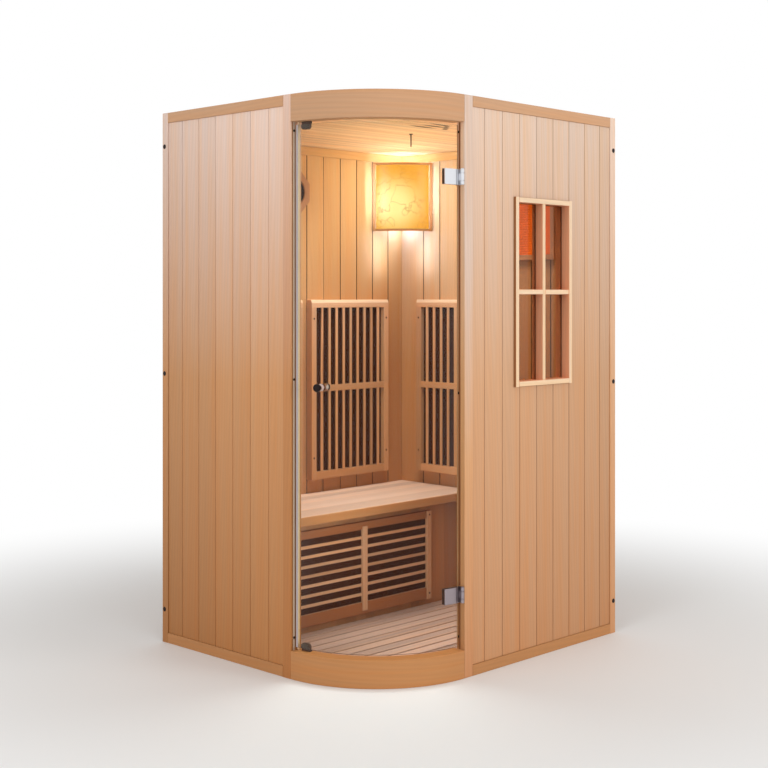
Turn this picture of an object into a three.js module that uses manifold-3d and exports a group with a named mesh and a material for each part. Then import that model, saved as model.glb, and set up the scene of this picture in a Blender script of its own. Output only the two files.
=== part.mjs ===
// Corner infrared sauna cabin: two boarded front panels, a quarter-round glass door between them,
// two back walls, a bench with heaters behind and below it, and a lamp in the rear corner.
// Millimetres, +Z up.
import * as THREE from "three";
import { mergeVertices } from "three/addons/utils/BufferGeometryUtils.js";
import Module from "manifold-3d";

const wasm = await Module();
wasm.setup();

// Cabin shell.
const cabinWidth = 1250;
const cabinDepth = 1090;
const cabinHeight = 1900;
const wallThickness = 50;
const doorRadius = 400;
const fit = 0.3;
const overlap = 1;

// Wall panels.
const stileWidth = 32;
const railHeight = 36;
const studWidth = 30;
const boardThickness = 10;
const boardRecess = 4;
const boardPitch = 93;
const grooveWidth = 5;
const grooveDepth = 3;
const endBoardLeast = 40;
const leftFirstGroove = 112;
const windowFirstGroove = 63;
const benchFirstGroove = 134;
const sideFirstGroove = 36;

// Door portal.
const latchJambWidth = 38;
const hingeJambWidth = 42;
const hingeJambBevel = 18;
const lintelHeight = 90;
const sillHeight = 92;

// Floor, ceiling and roof.
const floorBaseThickness = 15;
const floorBattenHeight = 10;
const floorBattenWidth = 40;
const floorBattens = 4;
const floorBattenFromSide = 26;
const floorBattenPitch = 280;
const floorSlatThickness = 12;
const floorSlatWidth = 46;
const floorSlatGap = 8;
const floorMargin = 3;
const ceilingDrop = 73;
const ceilingThickness = 10;
const ceilingBoardPitch = 94;
const roofThickness = 18;
const trimHeight = 33;
const trimThickness = 14;

// Window in the front panel.
const windowWidth = 318;
const windowHeight = 645;
const windowOffset = 28;
const windowBelowTop = 320;
const windowTrimWidth = 18;
const windowTrimProud = 10;
const windowInnerProud = 8;
const windowBarWidth = 17;
const windowBarSetback = 3;
const windowInnerBarDepth = 12;
const windowGlassDepth = 30;
const windowGlassThickness = 4;

// Bench.
const benchHeight = 470;
const benchDepth = 423;
const benchThickness = 33;
const benchFrontSetback = 90;
const benchFrontThickness = 15;
const bearerWidth = 30;
const bearerHeight = 38;

// Heaters behind and beside the seats, and under the bench.
const guardGap = 48;
const guardHeight = 704;
const guardDepth = 32;
const guardAboveBench = 54;
const guardFromCorner = 114;
const guardStile = 27;
const guardTopRail = 31;
const guardBottomRail = 30;
const guardMidRail = 25;
const guardMidRailHeight = 356;
const guardBevelHeight = 12;
const guardBevelDepth = 5;
const guardSlats = 9;
const guardSlatWidth = 13;
const guardSlatThickness = 6;
const guardSlatSetback = 1;
const heaterThickness = 13;
const footGuardWidth = 740;
const footGuardDepth = 25;
const footGuardStile = 24;
const footGuardTopRail = 29;
const footGuardBottomRail = 44;
const footGuardProud = 5;
const footBattenTopLap = 12;
const footBattenBottomLap = 30;
const footGuardTopGap = 33;
const footGuardFloorGap = 24;
const footGuardSlats = 7;
const footGuardSlatHeight = 11;

// Bent glass door and its fittings.
const glassThickness = 8;
const glassSetback = 20;
const glassEdgeGap = 10;
const latchGap = 5;
const hingeGap = 10;
const stopWidth = 9;
const stopDepth = 7;
const upperHingeFromTop = 269;
const lowerHingeFromFloor = 272;
const hingeHeight = 51;
const hingeClampWidth = 68;
const hingePlateThickness = 5;
const hingeLeafThickness = 3;
const hingeLeafDepth = 31;
const hingeBarrelRadius = 6.5;
const hingePinRadius = 3;
const hingePinHeadRadius = 5;
const hingePinHeadHeight = 2;
const hingeGasket = 0.5;
const hingeWebClear = 2;
const hingeLeafClear = 1;
const hingeGrooveFromEdge = 18;
const hingeGrooveWidth = 1.6;
const hingeGrooveDepth = 1.5;
const knuckleGap = 1.2;
const hingeSetback = 4;
const knobHeight = 950;
const knobFromEdge = 104;
const knobHeadRadius = 13;
const knobNeckRadius = 7;
const knobFootRadius = 12;
const knobFootThickness = 4;
const knobLength = 32;
const knobHeadLength = 9;
const knobEdge = 3;
const knobSeatGap = 0.5;
const knobStudReach = 18;
const knobStudRadius = 4;
const catchWidth = 36;
const catchHeight = 26;
const catchCorner = 11;
const catchDepth = 12;
const catchFromEdge = 34;

// Corner lamp.
const lampFromCorner = 178;
const lampBelowTrim = 4;
const lampHeight = 280;
const lampBow = 40;
const lampStileWidth = 12;
const lampStileDepth = 12;
const lampRailHeight = 9;
const lampShadeThickness = 3;
const lampShadeGap = 1;
const lampRailTenon = 2;
const lampPlateHalf = 30;
const lampPlateThickness = 10;
const lampHolderFromCorner = 78;
const lampHolderAboveFrame = 84;
const lampHolderRadius = 19;
const lampHolderHeight = 46;
const lampArmWidth = 16;
const bulbSocketDepth = 22;
const bulbRadius = 28;
const bulbCapRadius = 13;

// Speaker, light panel, control panel and power box.
const speakerBelowCeiling = 180;
const bezelAcross = 165;
const bezelThickness = 14;
const speakerFromMiddle = 51;
const speakerRadius = 54;
const speakerDepth = 24;
const speakerSetback = 6;
const speakerConeDepth = 8;
const speakerRim = 4;
const lightPanelWidth = 220;
const lightPanelHeight = 289;
const lightPanelBelowCeiling = 157;
const lightPanelFromFront = 177;
const lightPanelFrame = 20;
const lightPanelDepth = 26;
const diffuserDepth = 16;
const controlWidth = 120;
const controlHeight = 160;
const controlBottom = 1180;
const controlFromDoor = 40;
const controlDepth = 20;
const buttonRadius = 8;
const buttonProud = 4;
const buttonTravel = 1.5;
const buttonLength = 10;
const buttonSpacing = 32;
const buttonAboveEdge = 32;
const powerBoxWidth = 300;
const powerBoxDepth = 180;
const powerBoxHeight = 38;
const powerBoxFromSide = 90;
const powerBoxFromBack = 120;
const inletRadius = 9;
const inletLength = 22;

// Values that follow from the sizes above.
const halfWidth = cabinWidth / 2;
const halfDepth = cabinDepth / 2;
const frameDepth = wallThickness - boardThickness - fit;
const ceilingUnderside = cabinHeight - ceilingDrop;
const boardBack = boardRecess + boardThickness;
const cornerX = -halfWidth + doorRadius;
const cornerY = -halfDepth + doorRadius;
const innerRadius = doorRadius - wallThickness;
const glassOuter = doorRadius - glassSetback;
const glassInner = glassOuter - glassThickness;
const floorTop = floorBaseThickness + fit + floorBattenHeight + floorSlatThickness;
const guardBottom = benchHeight + guardAboveBench;
const guardWidth = (cabinWidth - 2 * wallThickness - 2 * guardFromCorner - guardGap) / 2;
const windowBottom = cabinHeight - windowBelowTop - windowHeight;
const trimTop = ceilingUnderside - fit;
const trimBottom = trimTop - trimHeight;
const speakerHeight = ceilingUnderside - speakerBelowCeiling;

const hemlock = () => new THREE.MeshStandardMaterial({ color: 0xcf9f74, roughness: 0.6 });
const darkPanel = () => new THREE.MeshStandardMaterial({ color: 0x2a2320, roughness: 0.8 });
const clearGlass = () =>
  new THREE.MeshStandardMaterial({ color: 0xbfd4cc, roughness: 0.05, transparent: true, opacity: 0.35 });
const chrome = () => new THREE.MeshStandardMaterial({ color: 0xc9ccd0, roughness: 0.2, metalness: 1 });
const blackPlastic = () => new THREE.MeshStandardMaterial({ color: 0x1b1a1a, roughness: 0.5 });
const greyPlastic = () => new THREE.MeshStandardMaterial({ color: 0x5a5552, roughness: 0.5 });
const glowing = (color, roughness, emissive, emissiveIntensity) =>
  new THREE.MeshStandardMaterial({ color, roughness, emissive, emissiveIntensity });
const amberShade = () => glowing(0xffc868, 0.6, 0xffa030, 0.6);
const opalGlass = () => glowing(0xfff2d8, 0.4, 0xffe0a0, 1);
const orangeDiffuser = () => glowing(0xf0702a, 0.5, 0xe05010, 0.5);
const paintedSteel = () =>
  new THREE.MeshStandardMaterial({ color: 0xd8d8d4, roughness: 0.5, metalness: 0.2 });

/** A box between two corners. */
function box(x0, x1, y0, y1, z0, z1) {
  const block = new THREE.BoxGeometry(x1 - x0, y1 - y0, z1 - z0);
  return block.translate((x0 + x1) / 2, (y0 + y1) / 2, (z0 + z1) / 2);
}

/** An outline in X and Y, pulled up from z0 to z1. */
function prism(shape, z0, z1, curveSegments = 24) {
  const options = { depth: z1 - z0, bevelEnabled: false, curveSegments };
  return new THREE.ExtrudeGeometry(shape, options).translate(0, 0, z0);
}

/** An outline given in Y and Z, pulled along X from x0 to x1. */
function prismAlongX(points, x0, x1) {
  const turn = new THREE.Matrix4().makeBasis(
    new THREE.Vector3(0, 1, 0),
    new THREE.Vector3(0, 0, 1),
    new THREE.Vector3(1, 0, 0),
  );
  const shape = new THREE.Shape(points.map(([y, z]) => new THREE.Vector2(y, z)));
  return prism(shape, x0, x1).applyMatrix4(turn);
}

/** A ring sector about the Z axis. */
function arcBand(innerR, outerR, from, to, z0, z1, segments = 24) {
  const shape = new THREE.Shape();
  shape.moveTo(outerR * Math.cos(from), outerR * Math.sin(from));
  shape.absarc(0, 0, outerR, from, to, false);
  shape.lineTo(innerR * Math.cos(to), innerR * Math.sin(to));
  shape.absarc(0, 0, innerR, to, from, true);
  return prism(shape, z0, z1, segments);
}

/** A round bar standing on z0. */
function rod(radius, x, y, z0, z1, segments = 24) {
  return new THREE.CylinderGeometry(radius, radius, z1 - z0, segments)
    .rotateX(Math.PI / 2)
    .translate(x, y, (z0 + z1) / 2);
}

/** A round bar along Y. */
function rodAlongY(radius, x, z, y0, y1, segments = 24) {
  return new THREE.CylinderGeometry(radius, radius, y1 - y0, segments).translate(x, (y0 + y1) / 2, z);
}

/** A closed body from a geometry, for joining and cutting. */
function solid(geometry) {
  const plain = geometry.clone();
  plain.deleteAttribute("normal");
  plain.deleteAttribute("uv");
  const merged = mergeVertices(plain, 1e-4);
  return new wasm.Manifold(
    new wasm.Mesh({
      numProp: 3,
      vertProperties: new Float32Array(merged.attributes.position.array),
      triVerts: new Uint32Array(merged.index.array),
    }),
  );
}

/** The closed body of a geometry, or the body itself where it is one already. */
function asBody(shape) {
  return shape instanceof THREE.BufferGeometry ? solid(shape) : shape;
}

/** One body of several that share volume. */
function join(...shapes) {
  return shapes.map(asBody).reduce((a, b) => a.add(b));
}

/** A body with others taken out of it. */
function cut(shape, ...tools) {
  return tools.map(asBody).reduce((a, b) => a.subtract(b), asBody(shape));
}

/** A named mesh from a geometry or a closed body. */
function piece(name, body, material) {
  let geometry = body;
  if (!(body instanceof THREE.BufferGeometry)) {
    const data = body.getMesh();
    geometry = new THREE.BufferGeometry();
    geometry.setAttribute("position", new THREE.BufferAttribute(new Float32Array(data.vertProperties), 3));
    geometry.setIndex(new THREE.BufferAttribute(new Uint32Array(data.triVerts), 1));
    geometry.computeVertexNormals();
  }
  const mesh = new THREE.Mesh(geometry, material);
  mesh.name = name;
  return mesh;
}

/** A sheet of grooved boards: the outline in X and Y has a notch at every board joint. */
function boardSheet(x0, x1, face, back, firstGroove, pitch, z0, z1) {
  const into = Math.sign(back - face) * grooveDepth;
  const points = [new THREE.Vector2(x0, back), new THREE.Vector2(x0, face)];
  for (let x = firstGroove; x < x1 - endBoardLeast; x += pitch) {
    if (x < x0 + endBoardLeast) continue;
    points.push(new THREE.Vector2(x - grooveWidth / 2, face));
    points.push(new THREE.Vector2(x, face + into));
    points.push(new THREE.Vector2(x + grooveWidth / 2, face));
  }
  points.push(new THREE.Vector2(x1, face), new THREE.Vector2(x1, back));
  return prism(new THREE.Shape(points), z0, z1);
}

/**
 * A wall panel along X: outer face at y = 0, inner face at y = wallThickness. An end is closed with
 * a stile that shows, or with a stud behind the outer boards where a jamb stands against it.
 */
function wall(name, length, ends, grooves, inner, openings = {}) {
  const group = new THREE.Group();
  const behind = boardBack + fit;
  const members = [
    box(0, length, 0, frameDepth, 0, railHeight),
    box(0, length, 0, frameDepth, cabinHeight - railHeight, cabinHeight),
  ];
  ends.forEach((kind, i) => {
    const w = kind === "stile" ? stileWidth : studWidth;
    const from = i === 0 ? 0 : length - w;
    members.push(box(from, from + w, kind === "stile" ? 0 : behind, frameDepth, 0, cabinHeight));
  });
  const outerFrom = ends[0] === "stile" ? stileWidth + fit : fit;
  const outerTo = ends[1] === "stile" ? length - stileWidth - fit : length - fit;
  let outer = solid(
    boardSheet(
      outerFrom, outerTo, boardRecess, boardBack, grooves.outer, boardPitch,
      railHeight + fit, cabinHeight - railHeight - fit,
    ),
  );
  let lining = solid(
    boardSheet(
      inner.from, inner.to, wallThickness, wallThickness - boardThickness, grooves.inner, boardPitch,
      floorBaseThickness + fit, ceilingUnderside - fit,
    ),
  );
  for (const [a, b] of openings.studs ?? []) {
    members.push(box(a, b, behind, frameDepth, 0, cabinHeight));
  }
  if (openings.outer) outer = cut(outer, openings.outer);
  if (openings.inner) lining = cut(lining, openings.inner);
  group.add(
    piece(name + "_frame", join(...members), hemlock()),
    piece(name + "_outer_boards", outer, hemlock()),
    piece(name + "_inner_boards", lining, hemlock()),
  );
  return group;
}

/** A slatted guard: frame, middle bar and slats, with its back at y = 0 and its front at y = -depth. */
function slattedGuard(width, height, depth, frame, slats) {
  const railFront = -depth + frame.proud;
  const openTop = height - frame.topRail;
  const parts = [
    box(-width / 2, -width / 2 + frame.stile, -depth, 0, 0, height),
    box(width / 2 - frame.stile, width / 2, -depth, 0, 0, height),
    box(-width / 2, width / 2, railFront, 0, 0, frame.bottomRail),
    box(-width / 2, width / 2, railFront, 0, openTop, height),
  ];
  const front = railFront + guardSlatSetback;
  const back = front + guardSlatThickness;
  const halfBar = frame.middle / 2;
  const halfSlat = slats.size / 2;
  if (slats.upright) {
    const x1 = width / 2 - overlap;
    const z = frame.middleHeight;
    parts.push(box(-x1, x1, -depth, back, z - halfBar, z + halfBar));
    const pitch = (width - 2 * frame.stile + slats.size) / (slats.count + 1);
    const z0 = frame.bottomRail / 2;
    const z1 = height - frame.topRail / 2;
    for (let i = 1; i <= slats.count; i++) {
      const x = -width / 2 + frame.stile - halfSlat + i * pitch;
      parts.push(box(x - halfSlat, x + halfSlat, front, back, z0, z1));
    }
  } else {
    const z0 = frame.bottomRail - frame.bottomLap;
    parts.push(box(-halfBar, halfBar, -depth, back, z0, openTop + frame.topLap));
    const pitch = (openTop - frame.bottomRail + slats.size) / (slats.count + 1);
    for (let i = 1; i <= slats.count; i++) {
      const z = frame.bottomRail - halfSlat + i * pitch;
      const x1 = (width - frame.stile) / 2;
      parts.push(box(-x1, x1, front, back, z - halfSlat, z + halfSlat));
    }
  }
  let body = join(...parts);
  if (frame.bevelDepth) {
    const past = (overlap * frame.bevelDepth) / frame.bevelHeight;
    const bevelFrom = height - frame.bevelHeight - overlap;
    const wedge = [
      [-depth - past, bevelFrom],
      [-depth + frame.bevelDepth + past, height + overlap],
      [-depth - overlap, height + overlap],
      [-depth - overlap, bevelFrom],
    ];
    body = cut(body, prismAlongX(wedge, -width / 2 - overlap, width / 2 + overlap));
  }
  return body;
}

/** The flat heater panel that lies in a guard's frame, back at y = 0. */
function heaterPanel(width, height, frame) {
  const side = frame.stile + fit;
  const z0 = frame.bottomRail + fit;
  return box(-width / 2 + side, width / 2 - side, -heaterThickness, 0, z0, height - frame.topRail - fit);
}

/** The outline inside the wall frames, with the door corner rounded. */
function shellOutline() {
  const x0 = -halfWidth + wallThickness - boardThickness;
  const y0 = -halfDepth + wallThickness - boardThickness;
  const r = innerRadius - fit;
  const outline = new THREE.Shape();
  outline.moveTo(x0, -y0);
  outline.lineTo(x0, cornerY + latchJambWidth);
  outline.lineTo(cornerX - r, cornerY + latchJambWidth);
  outline.lineTo(cornerX - r, cornerY);
  outline.absarc(cornerX, cornerY, r, Math.PI, Math.PI * 1.5, false);
  outline.lineTo(cornerX + hingeJambWidth, cornerY - r);
  outline.lineTo(cornerX + hingeJambWidth, y0);
  outline.lineTo(-x0, y0);
  outline.lineTo(-x0, -y0);
  return outline;
}

/** The four walls, each turned to face outward. */
function walls() {
  const group = new THREE.Group();
  const skin = wallThickness - boardThickness;

  const leftLength = halfDepth - cornerY - latchJambWidth;
  const left = wall(
    "left_wall", leftLength, ["stile", "stud"], { outer: leftFirstGroove, inner: wallThickness + boardPitch },
    { from: wallThickness + fit, to: leftLength - fit },
  );
  left.rotation.z = -Math.PI / 2;
  left.position.set(-halfWidth, halfDepth, 0);

  const windowLength = halfWidth - cornerX - hingeJambWidth;
  const mid = windowLength / 2 - windowOffset;
  const w0 = mid - windowWidth / 2;
  const w1 = mid + windowWidth / 2;
  const hole = box(
    w0 - fit, w1 + fit, -wallThickness, 2 * wallThickness,
    windowBottom - fit, windowBottom + windowHeight + fit,
  );
  const front = wall(
    "window_wall", windowLength, ["stud", "stile"], { outer: windowFirstGroove, inner: boardPitch },
    { from: fit, to: windowLength - skin - fit },
    { outer: hole, inner: hole, studs: [[w0 - fit - studWidth, w0 - fit], [w1 + fit, w1 + fit + studWidth]] },
  );
  front.position.set(cornerX + hingeJambWidth, -halfDepth, 0);
  front.add(...windowUnit(mid), ...controlUnit());

  const sideLength = cabinDepth - 2 * skin;
  const side = wall(
    "side_wall", sideLength, ["stile", "stile"], { outer: stileWidth + boardPitch, inner: sideFirstGroove },
    { from: boardThickness + fit, to: sideLength - boardThickness - fit },
  );
  side.rotation.z = Math.PI / 2;
  side.position.set(halfWidth, -halfDepth + skin, 0);
  side.add(...lightPanel());

  const benchLength = cabinWidth - skin;
  const speakerX = halfWidth + speakerFromMiddle;
  const speakerHole = rodAlongY(speakerRadius, speakerX, speakerHeight, 0, 2 * wallThickness, 32);
  const bench = wall(
    "bench_wall", benchLength, ["stile", "stile"],
    { outer: stileWidth + boardPitch, inner: benchFirstGroove },
    { from: skin + fit, to: benchLength - fit },
    { inner: speakerHole },
  );
  bench.rotation.z = Math.PI;
  bench.position.set(halfWidth, halfDepth, 0);
  bench.add(...speaker(speakerX));

  group.add(left, front, side, bench);
  return group;
}

/** Window in the front panel, in the panel's own frame: outer frame with crossed bars, pane, inner frame. */
function windowUnit(mid) {
  const x0 = mid - windowWidth / 2;
  const x1 = mid + windowWidth / 2;
  const z0 = windowBottom;
  const z1 = windowBottom + windowHeight;
  const zMid = (z0 + z1) / 2;
  const front = boardRecess - windowTrimProud;
  const paneBack = windowGlassDepth + windowGlassThickness;
  const t = windowTrimWidth;
  const halfBar = windowBarWidth / 2;
  const ring = (ya, yb) =>
    cut(
      box(x0, x1, ya, yb, z0, z1),
      box(x0 + t, x1 - t, ya - overlap, yb + overlap, z0 + t, z1 - t),
    );
  const cross = (ya, yb) => [
    box(mid - halfBar, mid + halfBar, ya, yb, z0 + overlap, z1 - overlap),
    box(x0 + overlap, x1 - overlap, ya, yb, zMid - halfBar, zMid + halfBar),
  ];
  const outerBack = windowGlassDepth - fit;
  const innerFront = paneBack + fit;
  const outerCross = cross(front + windowBarSetback, outerBack);
  return [
    piece("window_frame", join(ring(front, outerBack), ...outerCross), hemlock()),
    piece("window_glass", box(x0, x1, windowGlassDepth, paneBack, z0, z1), clearGlass()),
    piece(
      "window_inner_frame",
      join(
        ring(innerFront, wallThickness + windowInnerProud),
        ...cross(innerFront, innerFront + windowInnerBarDepth),
      ),
      hemlock(),
    ),
  ];
}

/** Control panel with its keys on the inside of the window wall, in that wall's frame. */
function controlUnit() {
  const x0 = controlFromDoor;
  const mid = x0 + controlWidth / 2;
  const back = wallThickness + fit;
  const front = back + controlDepth;
  const keys = [
    ["cooler_button", mid - buttonSpacing],
    ["power_button", mid],
    ["warmer_button", mid + buttonSpacing],
  ];
  const keyZ = controlBottom + buttonAboveEdge;
  const keyBack = front + buttonProud - buttonLength;
  const body = cut(
    box(x0, x0 + controlWidth, back, front, controlBottom, controlBottom + controlHeight),
    ...keys.map(([, x]) =>
      rodAlongY(buttonRadius + fit, x, keyZ, keyBack - 2 * buttonTravel, front + overlap),
    ),
  );
  return [
    piece("control_panel", body, blackPlastic()),
    ...keys.map(([name, x]) =>
      piece(name, rodAlongY(buttonRadius, x, keyZ, keyBack, front + buttonProud), greyPlastic()),
    ),
  ];
}

/** Orange light panel on the side wall, in that wall's frame. */
function lightPanel() {
  const x0 = lightPanelFromFront + boardThickness;
  const x1 = x0 + lightPanelWidth;
  const z1 = ceilingUnderside - lightPanelBelowCeiling;
  const z0 = z1 - lightPanelHeight;
  const back = wallThickness + fit;
  const f = lightPanelFrame;
  const ring = cut(
    box(x0, x1, back, back + lightPanelDepth, z0, z1),
    box(x0 + f, x1 - f, back - overlap, back + lightPanelDepth + overlap, z0 + f, z1 - f),
  );
  return [
    piece("light_panel_frame", ring, hemlock()),
    piece(
      "light_panel_diffuser",
      box(x0 + f + fit, x1 - f - fit, back, back + diffuserDepth, z0 + f + fit, z1 - f - fit),
      orangeDiffuser(),
    ),
  ];
}

/** Speaker high on the bench wall, in that wall's frame: eight-sided bezel, driver through the boards. */
function speaker(x) {
  const half = bezelAcross / 2 / Math.cos(Math.PI / 8);
  const octagon = new THREE.CylinderGeometry(half, half, bezelThickness, 8)
    .rotateY(Math.PI / 8)
    .translate(x, wallThickness + fit + bezelThickness / 2, speakerHeight);
  const hole = rodAlongY(speakerRadius, x, speakerHeight, 0, 2 * wallThickness, 32);
  const front = wallThickness + bezelThickness - speakerSetback;
  const mouth = speakerRadius - speakerRim;
  const cone = new THREE.CylinderGeometry(mouth, speakerRadius / 3, speakerConeDepth, 32);
  const driver = cut(
    rodAlongY(speakerRadius - fit, x, speakerHeight, front - speakerDepth, front, 32),
    cone.translate(x, front - speakerConeDepth / 2 + fit, speakerHeight),
  );
  return [
    piece("speaker_bezel", cut(octagon, hole), hemlock()),
    piece("speaker_driver", driver, blackPlastic()),
  ];
}

/** The hinge jamb's section about the door corner's axis, with its inner edge bevelled. */
function hingeJambOutline() {
  const x1 = hingeJambWidth - fit;
  const outline = new THREE.Shape();
  outline.moveTo(0, -doorRadius);
  outline.lineTo(x1, -doorRadius);
  outline.lineTo(x1, -innerRadius);
  outline.lineTo(hingeJambBevel, -innerRadius);
  outline.lineTo(0, -innerRadius - hingeJambBevel);
  outline.lineTo(0, -doorRadius);
  return outline;
}

/** Jambs, lintel and sill around the door. */
function portal() {
  const group = new THREE.Group();
  group.position.set(cornerX, cornerY, 0);
  const slack = fit / innerRadius;
  const from = Math.PI + slack;
  const to = Math.PI * 1.5 - slack;
  const band = (z0, z1) => arcBand(innerRadius, doorRadius, from, to, z0, z1);
  group.add(
    piece(
      "latch_jamb",
      box(-doorRadius, -doorRadius + wallThickness, 0, latchJambWidth - fit, 0, cabinHeight),
      hemlock(),
    ),
    piece("hinge_jamb", prism(hingeJambOutline(), 0, cabinHeight), hemlock()),
    piece("door_lintel", band(cabinHeight - lintelHeight, cabinHeight), hemlock()),
    piece("door_sill", band(0, sillHeight), hemlock()),
    piece(
      "door_stop_strip",
      box(
        -glassInner + fit * 2, -glassInner + fit * 2 + stopDepth, -stopWidth, -fit,
        sillHeight + fit, cabinHeight - lintelHeight - fit,
      ),
      hemlock(),
    ),
    ...doorCatches(),
  );
  return group;
}

/** Round-cornered catches behind the glass, on the sill and under the lintel, about the door corner's axis. */
function doorCatches() {
  const outer = glassInner - fit * 2;
  const angle = Math.PI + (latchGap + catchFromEdge) / glassInner;
  const face = new THREE.Shape();
  const r = catchWidth / 2;
  const cornerAt = r - catchCorner;
  face.moveTo(-r, 0);
  face.lineTo(r, 0);
  face.lineTo(r, catchHeight - catchCorner);
  face.absarc(cornerAt, catchHeight - catchCorner, catchCorner, 0, Math.PI / 2, false);
  face.absarc(-cornerAt, catchHeight - catchCorner, catchCorner, Math.PI / 2, Math.PI, false);
  face.lineTo(-r, 0);
  const sagitta = outer - Math.sqrt(outer * outer - r * r);
  const reach = outer - sagitta - catchDepth;
  const upright = () =>
    prism(face, 0, catchDepth, 8).rotateX(Math.PI / 2).translate(0, -reach, 0);
  const turn = angle - Math.PI * 1.5;
  return [
    piece("bottom_catch", upright().rotateZ(turn).translate(0, 0, sillHeight + fit), greyPlastic()),
    piece(
      "top_catch",
      upright()
        .translate(0, reach + catchDepth / 2, 0)
        .rotateY(Math.PI)
        .translate(0, -reach - catchDepth / 2, 0)
        .rotateZ(turn)
        .translate(0, 0, cabinHeight - lintelHeight - fit),
      greyPlastic(),
    ),
  ];
}

/** Bent glass with its knobs and hinges, about the door corner's axis. */
function door() {
  const group = new THREE.Group();
  group.position.set(cornerX, cornerY, 0);
  const z0 = sillHeight + glassEdgeGap;
  const z1 = cabinHeight - lintelHeight - glassEdgeGap;
  const from = Math.PI + latchGap / glassInner;
  const to = Math.PI * 1.5 - hingeGap / glassInner;
  const knobAngle = from + knobFromEdge / glassOuter;
  const across = (radius, near, far) =>
    new THREE.CylinderGeometry(radius, radius, far - near, 16)
      .translate(0, (near + far) / 2, 0)
      .rotateZ(knobAngle - Math.PI / 2)
      .translate(0, 0, knobHeight);
  const glass = cut(
    arcBand(glassInner, glassOuter, from, to, z0, z1),
    across(knobStudRadius + fit, glassInner - knobLength, glassOuter + knobLength),
  );

  const profile = [
    [0, 0],
    [knobFootRadius, 0],
    [knobFootRadius, knobFootThickness],
    [knobNeckRadius, 2 * knobFootThickness],
    [knobNeckRadius, knobStudReach],
    [knobHeadRadius, knobLength - knobHeadLength],
    [knobHeadRadius, knobLength - knobEdge],
    [knobHeadRadius - knobEdge, knobLength],
    [0, knobLength],
  ].map(([r, y]) => new THREE.Vector2(r, y));
  const knob = () => new THREE.LatheGeometry(profile, 16);
  const outward = (g, radius) =>
    g.translate(0, radius, 0).rotateZ(knobAngle - Math.PI / 2).translate(0, 0, knobHeight);
  const outerKnob = cut(
    outward(knob(), glassOuter + knobSeatGap),
    across(knobStudRadius + fit, glassOuter, glassOuter + knobStudReach),
  );
  const innerKnob = join(
    outward(knob().rotateZ(Math.PI), glassInner - knobSeatGap),
    across(knobStudRadius, glassInner - knobFootThickness, glassOuter + knobStudReach - overlap),
  );
  group.add(
    piece("door_glass", glass, clearGlass()),
    piece("outer_knob", outerKnob, blackPlastic()),
    piece("inner_knob", innerKnob, blackPlastic()),
    ...hinge("upper_hinge", cabinHeight - upperHingeFromTop),
    ...hinge("lower_hinge", lowerHingeFromFloor),
  );
  return group;
}

/** A hinge about the door corner's axis: clamp on the glass, leaf on the jamb, pin through their knuckles. */
function hinge(name, centre) {
  const axisX = -hingeBarrelRadius - fit;
  const axisY = -doorRadius + hingeSetback;
  const z0 = centre - hingeHeight / 2;
  const z1 = centre + hingeHeight / 2;
  const knuckle = hingeHeight / 4;
  const webFrom = -hingeGap + hingeWebClear;
  const webTo = -fit - hingeLeafThickness - hingeLeafClear;
  const plateTo = Math.PI * 1.5 + webTo / glassOuter;
  const plateFrom = plateTo - hingeClampWidth / glassOuter;
  const outside = glassOuter + hingeGasket;
  const inside = glassInner - hingeGasket;
  const webFront = -outside - hingePlateThickness + hingeGasket;
  const webBack = -inside + hingePlateThickness - hingeGasket;
  const midFrom = z0 + knuckle + knuckleGap;
  const midTo = z1 - knuckle - knuckleGap;
  const bore = rod(hingePinRadius + fit, axisX, axisY, z0 - overlap, z1 + overlap, 20);
  const grooveTo = webTo - hingeGrooveFromEdge;
  const plateFront = -outside - hingePlateThickness;
  const groove = box(
    grooveTo - hingeGrooveWidth, grooveTo, plateFront - overlap, plateFront + hingeGrooveDepth,
    z0 - overlap, z1 + overlap,
  );
  const clamp = cut(
    join(
      arcBand(outside, outside + hingePlateThickness, plateFrom, plateTo, z0, z1, 6),
      arcBand(inside - hingePlateThickness, inside, plateFrom, plateTo, z0, z1, 6),
      box(webFrom, webTo, webFront, webBack, z0, z1),
      box(webFrom, webTo, axisY, -outside - overlap, midFrom, midTo),
      rod(hingeBarrelRadius, axisX, axisY, midFrom, midTo, 20),
    ),
    bore,
    groove,
  );
  const leafBack = -doorRadius + hingeLeafDepth;
  const leafFront = axisY + hingeBarrelRadius + hingeLeafClear;
  const leafFrom = -fit - hingeLeafThickness;
  const leaf = cut(
    join(
      box(leafFrom, -fit, leafFront, leafBack, z0, z1),
      box(leafFrom, -fit, axisY, leafFront + overlap, z0, z0 + knuckle),
      box(leafFrom, -fit, axisY, leafFront + overlap, z1 - knuckle, z1),
      rod(hingeBarrelRadius, axisX, axisY, z0, z0 + knuckle, 20),
      rod(hingeBarrelRadius, axisX, axisY, z1 - knuckle, z1, 20),
    ),
    bore,
  );
  const pin = join(
    rod(hingePinRadius, axisX, axisY, z0, z1 + overlap, 20),
    rod(hingePinHeadRadius, axisX, axisY, z1 + fit, z1 + fit + hingePinHeadHeight, 20),
  );
  return [
    piece(name + "_clamp", clamp, chrome()),
    piece(name + "_leaf", leaf, chrome()),
    piece(name + "_pin", pin, chrome()),
  ];
}

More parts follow.
